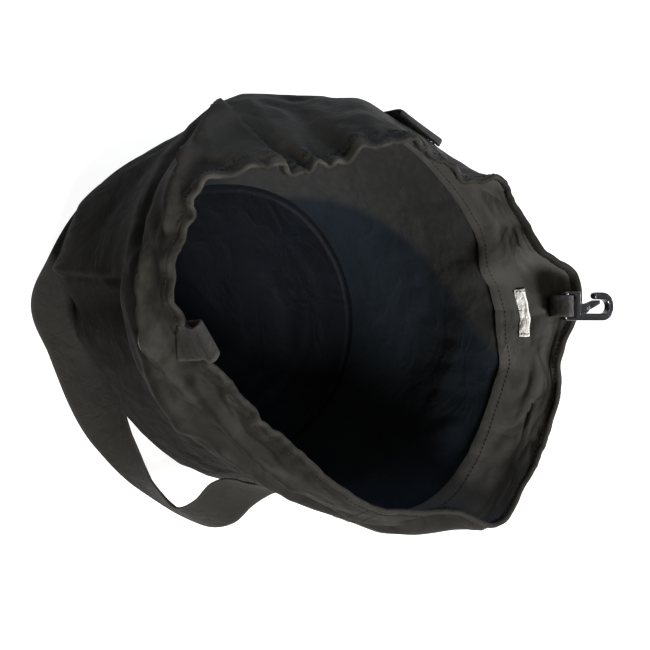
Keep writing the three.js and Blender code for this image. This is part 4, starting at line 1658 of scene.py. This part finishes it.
@dataclass
class Stitching:
    """Rows of thread stitches, made by one geometry tree on lines over the cloth."""

    strap: ShoulderStrap
    keeper: KeeperLoop
    label: SewnLabel
    facing: RimFacing
    pitch: float = 3.4
    length: float = 2.5
    radius: float = 0.38
    proud: float = 0.12
    webbing_proud: float = 0.3
    round_steps: int = 900
    hem_climb: float = 0.968
    turned_climb: float = 0.975
    turned_offset: float = -3.1
    facing_above: float = 0.022
    seam_climbs: tuple[float, float] = (0.02, 0.95)
    seam_steps: int = 160
    seam_side: float = 1.6
    strap_side: float = 14.0
    strap_rows: tuple[int, int] = (2, 14)
    strap_steps: int = 12
    keeper_side: float = 10.0
    keeper_rows: tuple[int, ...] = (2, 5, -3, -6)
    keeper_steps: int = 10
    label_columns: tuple[int, int] = (2, -3)
    lines: list[Array] = field(default_factory=list)

    def tree(self) -> bpy.types.NodeTree:
        """The tree that lays stitches along the lines' edges.

        Returns:
            The node tree.
        """
        takes = {"Lines": "Geometry", "Pitch": "Float", "Stitch Length": "Float", "Thread Radius": "Float"}
        board = GroupBoard("thread_stitches", "GeometryNodeTree", takes, {"Stitches": "Geometry"})
        given = board.given
        curve = board.add("GeometryNodeMeshToCurve", {0: given["Lines"]}).outputs[0]
        points = board.add("GeometryNodeCurveToPoints", {0: curve, "Length": given["Pitch"]}, mode="LENGTH")
        thread = board.add("GeometryNodeMeshUVSphere", {"Segments": 6, "Rings": 4, "Radius": 1.0})
        half = board.math("MULTIPLY", given["Stitch Length"], 0.5)
        radius = given["Thread Radius"]
        size = board.add("ShaderNodeCombineXYZ", {0: radius, 1: radius, 2: half})
        laid = {
            "Points": points.outputs["Points"],
            "Instance": thread.outputs["Mesh"],
            "Rotation": points.outputs["Rotation"],
            "Scale": size.outputs[0],
        }
        made = board.add("GeometryNodeInstanceOnPoints", laid).outputs[0]
        for kind in ("GeometryNodeRealizeInstances", "GeometryNodeSetShadeSmooth"):
            made = board.add(kind, {0: made}).outputs[0]
        paint = board.add("GeometryNodeSetMaterial", {0: made, "Material": THREAD.material()})
        board.feed(board.result, {0: paint.outputs[0]})
        return board.tree

    def cloth_lines(self) -> None:
        """Adds the hem, facing and side seam lines."""
        bearings = np.linspace(-180.0, 180.0, self.round_steps)
        outside = CLOTH / 2 + self.proud
        low = np.full(self.round_steps, self.facing.low + self.facing_above)
        inside = self.facing.near(bearings, low) - FACING_CLOTH - self.proud
        turned = (self.turned_climb, self.turned_offset)
        for climb, offset in ((self.hem_climb, outside), (low, inside), turned):
            self.lines.append(WALL.off(bearings, climb, offset))
        climbs = np.linspace(*self.seam_climbs, self.seam_steps)
        for seam in SIDE_SEAMS:
            for side in (-self.seam_side, self.seam_side):
                self.lines.append(WALL.off(seam + side, climbs, outside))

    def webbing_lines(self) -> None:
        """Adds the sewn boxes at the strap's ends and across the keeper's legs."""
        centres, acrosses = self.strap.line()
        across, through = ribbon_frame(centres, acrosses)
        proud = WEBBING / 2 + self.webbing_proud
        first, last = self.strap_rows
        count = len(centres)
        spread = np.linspace(-self.strap_side, self.strap_side, self.strap_steps)[:, None]
        for rows in (np.arange(first, last), np.arange(count - last, count - first)):
            for side in (-self.strap_side, self.strap_side):
                self.lines.append(centres[rows] + across[rows] * side + through[rows] * proud)
            for row in (rows[0], rows[-1]):
                self.lines.append(centres[row] + across[row] * spread + through[row] * proud)
        loop, wide = self.keeper.line()
        wide = unit(wide)
        _, through = ribbon_frame(loop, wide)
        spread = np.linspace(-self.keeper_side, self.keeper_side, self.keeper_steps)[:, None]
        for row in self.keeper_rows:
            self.lines.append(loop[row] + wide[row] * spread + through[row] * proud)

    def label_lines(self) -> None:
        """Adds the lines along the label's two short ends."""
        bearings, climbs = self.label.grid()
        depth = -(LABEL_DEPTH + self.label.ripple + self.label.thickness)
        for column in self.label_columns:
            self.lines.append(WALL.off(bearings[:, column], climbs[:, column], depth))

    def dress(self) -> None:
        """Builds all the stitches as one plain mesh and ties it to the bag."""
        self.cloth_lines()
        self.webbing_lines()
        self.label_lines()
        edges = []
        start = 0
        for line in self.lines:
            edges += [(start + i, start + i + 1) for i in range(len(line) - 1)]
            start += len(line)
        mesh = bpy.data.meshes.new("stitch_lines")
        mesh.from_pydata((np.vstack(self.lines) * MM).tolist(), edges, [])
        source = placed("stitch_lines", mesh)
        modifier = source.modifiers.new("stitches", "NODES")
        modifier.node_group = self.tree()
        sizes = {"Pitch": self.pitch, "Stitch Length": self.length, "Thread Radius": self.radius}
        for item in modifier.node_group.interface.items_tree:
            if item.name in sizes:
                modifier[item.identifier] = sizes[item.name] * MM
        piece = placed("thread_stitching", plain_mesh(source, "thread_stitching"))
        join_piece(piece, BAG_BODY, "webbing")


# Studio


class Lamp(NamedTuple):
    """One soft lamp aimed at the bag."""

    name: str
    place: tuple[float, float, float]
    size: float
    power: float
    tint: Shade


@dataclass
class Studio:
    """The pale floor, soft light and the photograph's camera."""

    eye: tuple[float, float, float] = (0.0, -0.365, 0.8028)
    aim: tuple[float, float, float] = (0.0, 0.0, 0.12)
    elevation: float = 60.0
    lens: float = 55.38
    sensor: float = 36.0
    floor_size: float = 6.0
    floor_level: float = -0.4
    floor_shade: Shade = (0.3, 0.3, 0.3)
    floor_glow: float = 0.85
    sky: float = 0.08
    backdrop: float = 0.75
    white: Shade = (1.0, 1.0, 1.0)
    lamps: tuple[Lamp, ...] = (
        Lamp("key", (0.85, -0.32, 1.6), 0.5, 66.0, (1.0, 0.98, 0.94)),
        Lamp("left", (-0.4, 0.5, 1.8), 0.5, 6.0, (0.64, 0.75, 1.0)),
        Lamp("front", (0.05, -0.7, 1.6), 0.3, 4.0, (1.0, 0.78, 0.45)),
        Lamp("left_fill", (-1.5, 0.2, 0.75), 0.9, 15.0, (0.7, 0.81, 1.0)),
        Lamp("back_fill", (0.0, 1.7, 0.7), 0.8, 80.0, (1.0, 1.0, 1.0)),
        Lamp("right_fill", (1.5, 0.3, 0.6), 0.9, 10.0, (1.0, 0.97, 0.92)),
    )

    def camera(self) -> None:
        """Makes the scene's camera: the picture is turned a quarter turn, its right side is up."""
        data = bpy.data.cameras.new("camera")
        data.lens = self.lens
        data.sensor_width = self.sensor
        data.clip_start = 0.01
        made = placed("camera", data)
        turn = math.radians(self.elevation)
        right = (0.0, math.sin(turn), math.cos(turn))
        up = (-1.0, 0.0, 0.0)
        back = (0.0, -math.cos(turn), math.sin(turn))
        made.matrix_world = Matrix((right, up, back)).transposed().to_4x4()
        made.matrix_world.translation = self.eye
        bpy.context.scene.camera = made

    def floor(self) -> None:
        """Makes the pale floor."""
        half = self.floor_size / 2 / MM
        around = ((-half, -half), (half, -half), (half, half), (-half, half))
        corners = [(x, y, self.floor_level) for x, y in around]
        paint, board, shader = new_material("pale_floor")
        seen = board.add("ShaderNodeLightPath").outputs["Is Camera Ray"]
        finish = {
            "Base Color": opaque(self.floor_shade),
            "Roughness": 0.9,
            "Emission Color": opaque(self.white),
            "Emission Strength": board.math("MULTIPLY", seen, self.floor_glow),
        }
        board.feed(shader, finish)
        mesh_object("pale_floor", corners, [(0, 1, 2, 3)], [paint])

    def light(self) -> None:
        """Makes the lamps and the plain sky."""
        world = bpy.data.worlds.new("studio")
        world.use_nodes = True
        board = NodeBoard(world.node_tree)
        seen = board.add("ShaderNodeLightPath").outputs["Is Camera Ray"]
        strength = board.math("MULTIPLY_ADD", seen, self.backdrop, self.sky)
        board.feed(world.node_tree.nodes["Background"], {"Color": opaque(self.white), "Strength": strength})
        bpy.context.scene.world = world
        bpy.context.scene.view_settings.view_transform = "Standard"
        for lamp in self.lamps:
            data = bpy.data.lights.new(lamp.name, "AREA")
            data.shape = "DISK"
            data.size = lamp.size
            data.energy = lamp.power
            data.color = lamp.tint
            made = placed(lamp.name, data)
            made.location = lamp.place
            aim = Vector(self.aim) - Vector(lamp.place)
            made.rotation_euler = aim.to_track_quat("-Z", "Y").to_euler()

    def dress(self) -> None:
        """Makes the camera, floor and light."""
        self.camera()
        self.floor()
        self.light()


def main() -> None:
    """Builds the scene."""
    logging.basicConfig(level=logging.INFO, format="%(message)s")
    Studio().dress()
    strap = ShoulderStrap()
    keeper = KeeperLoop()
    hook = SnapHook()
    label = SewnLabel()
    facing = RimFacing()
    for part in (ClothShell(), facing, BaseCloth(), strap, keeper, hook, HookTab(hook), label):
        part.dress()
    Stitching(strap, keeper, label, facing).dress()


if __name__ == "__main__":
    main()
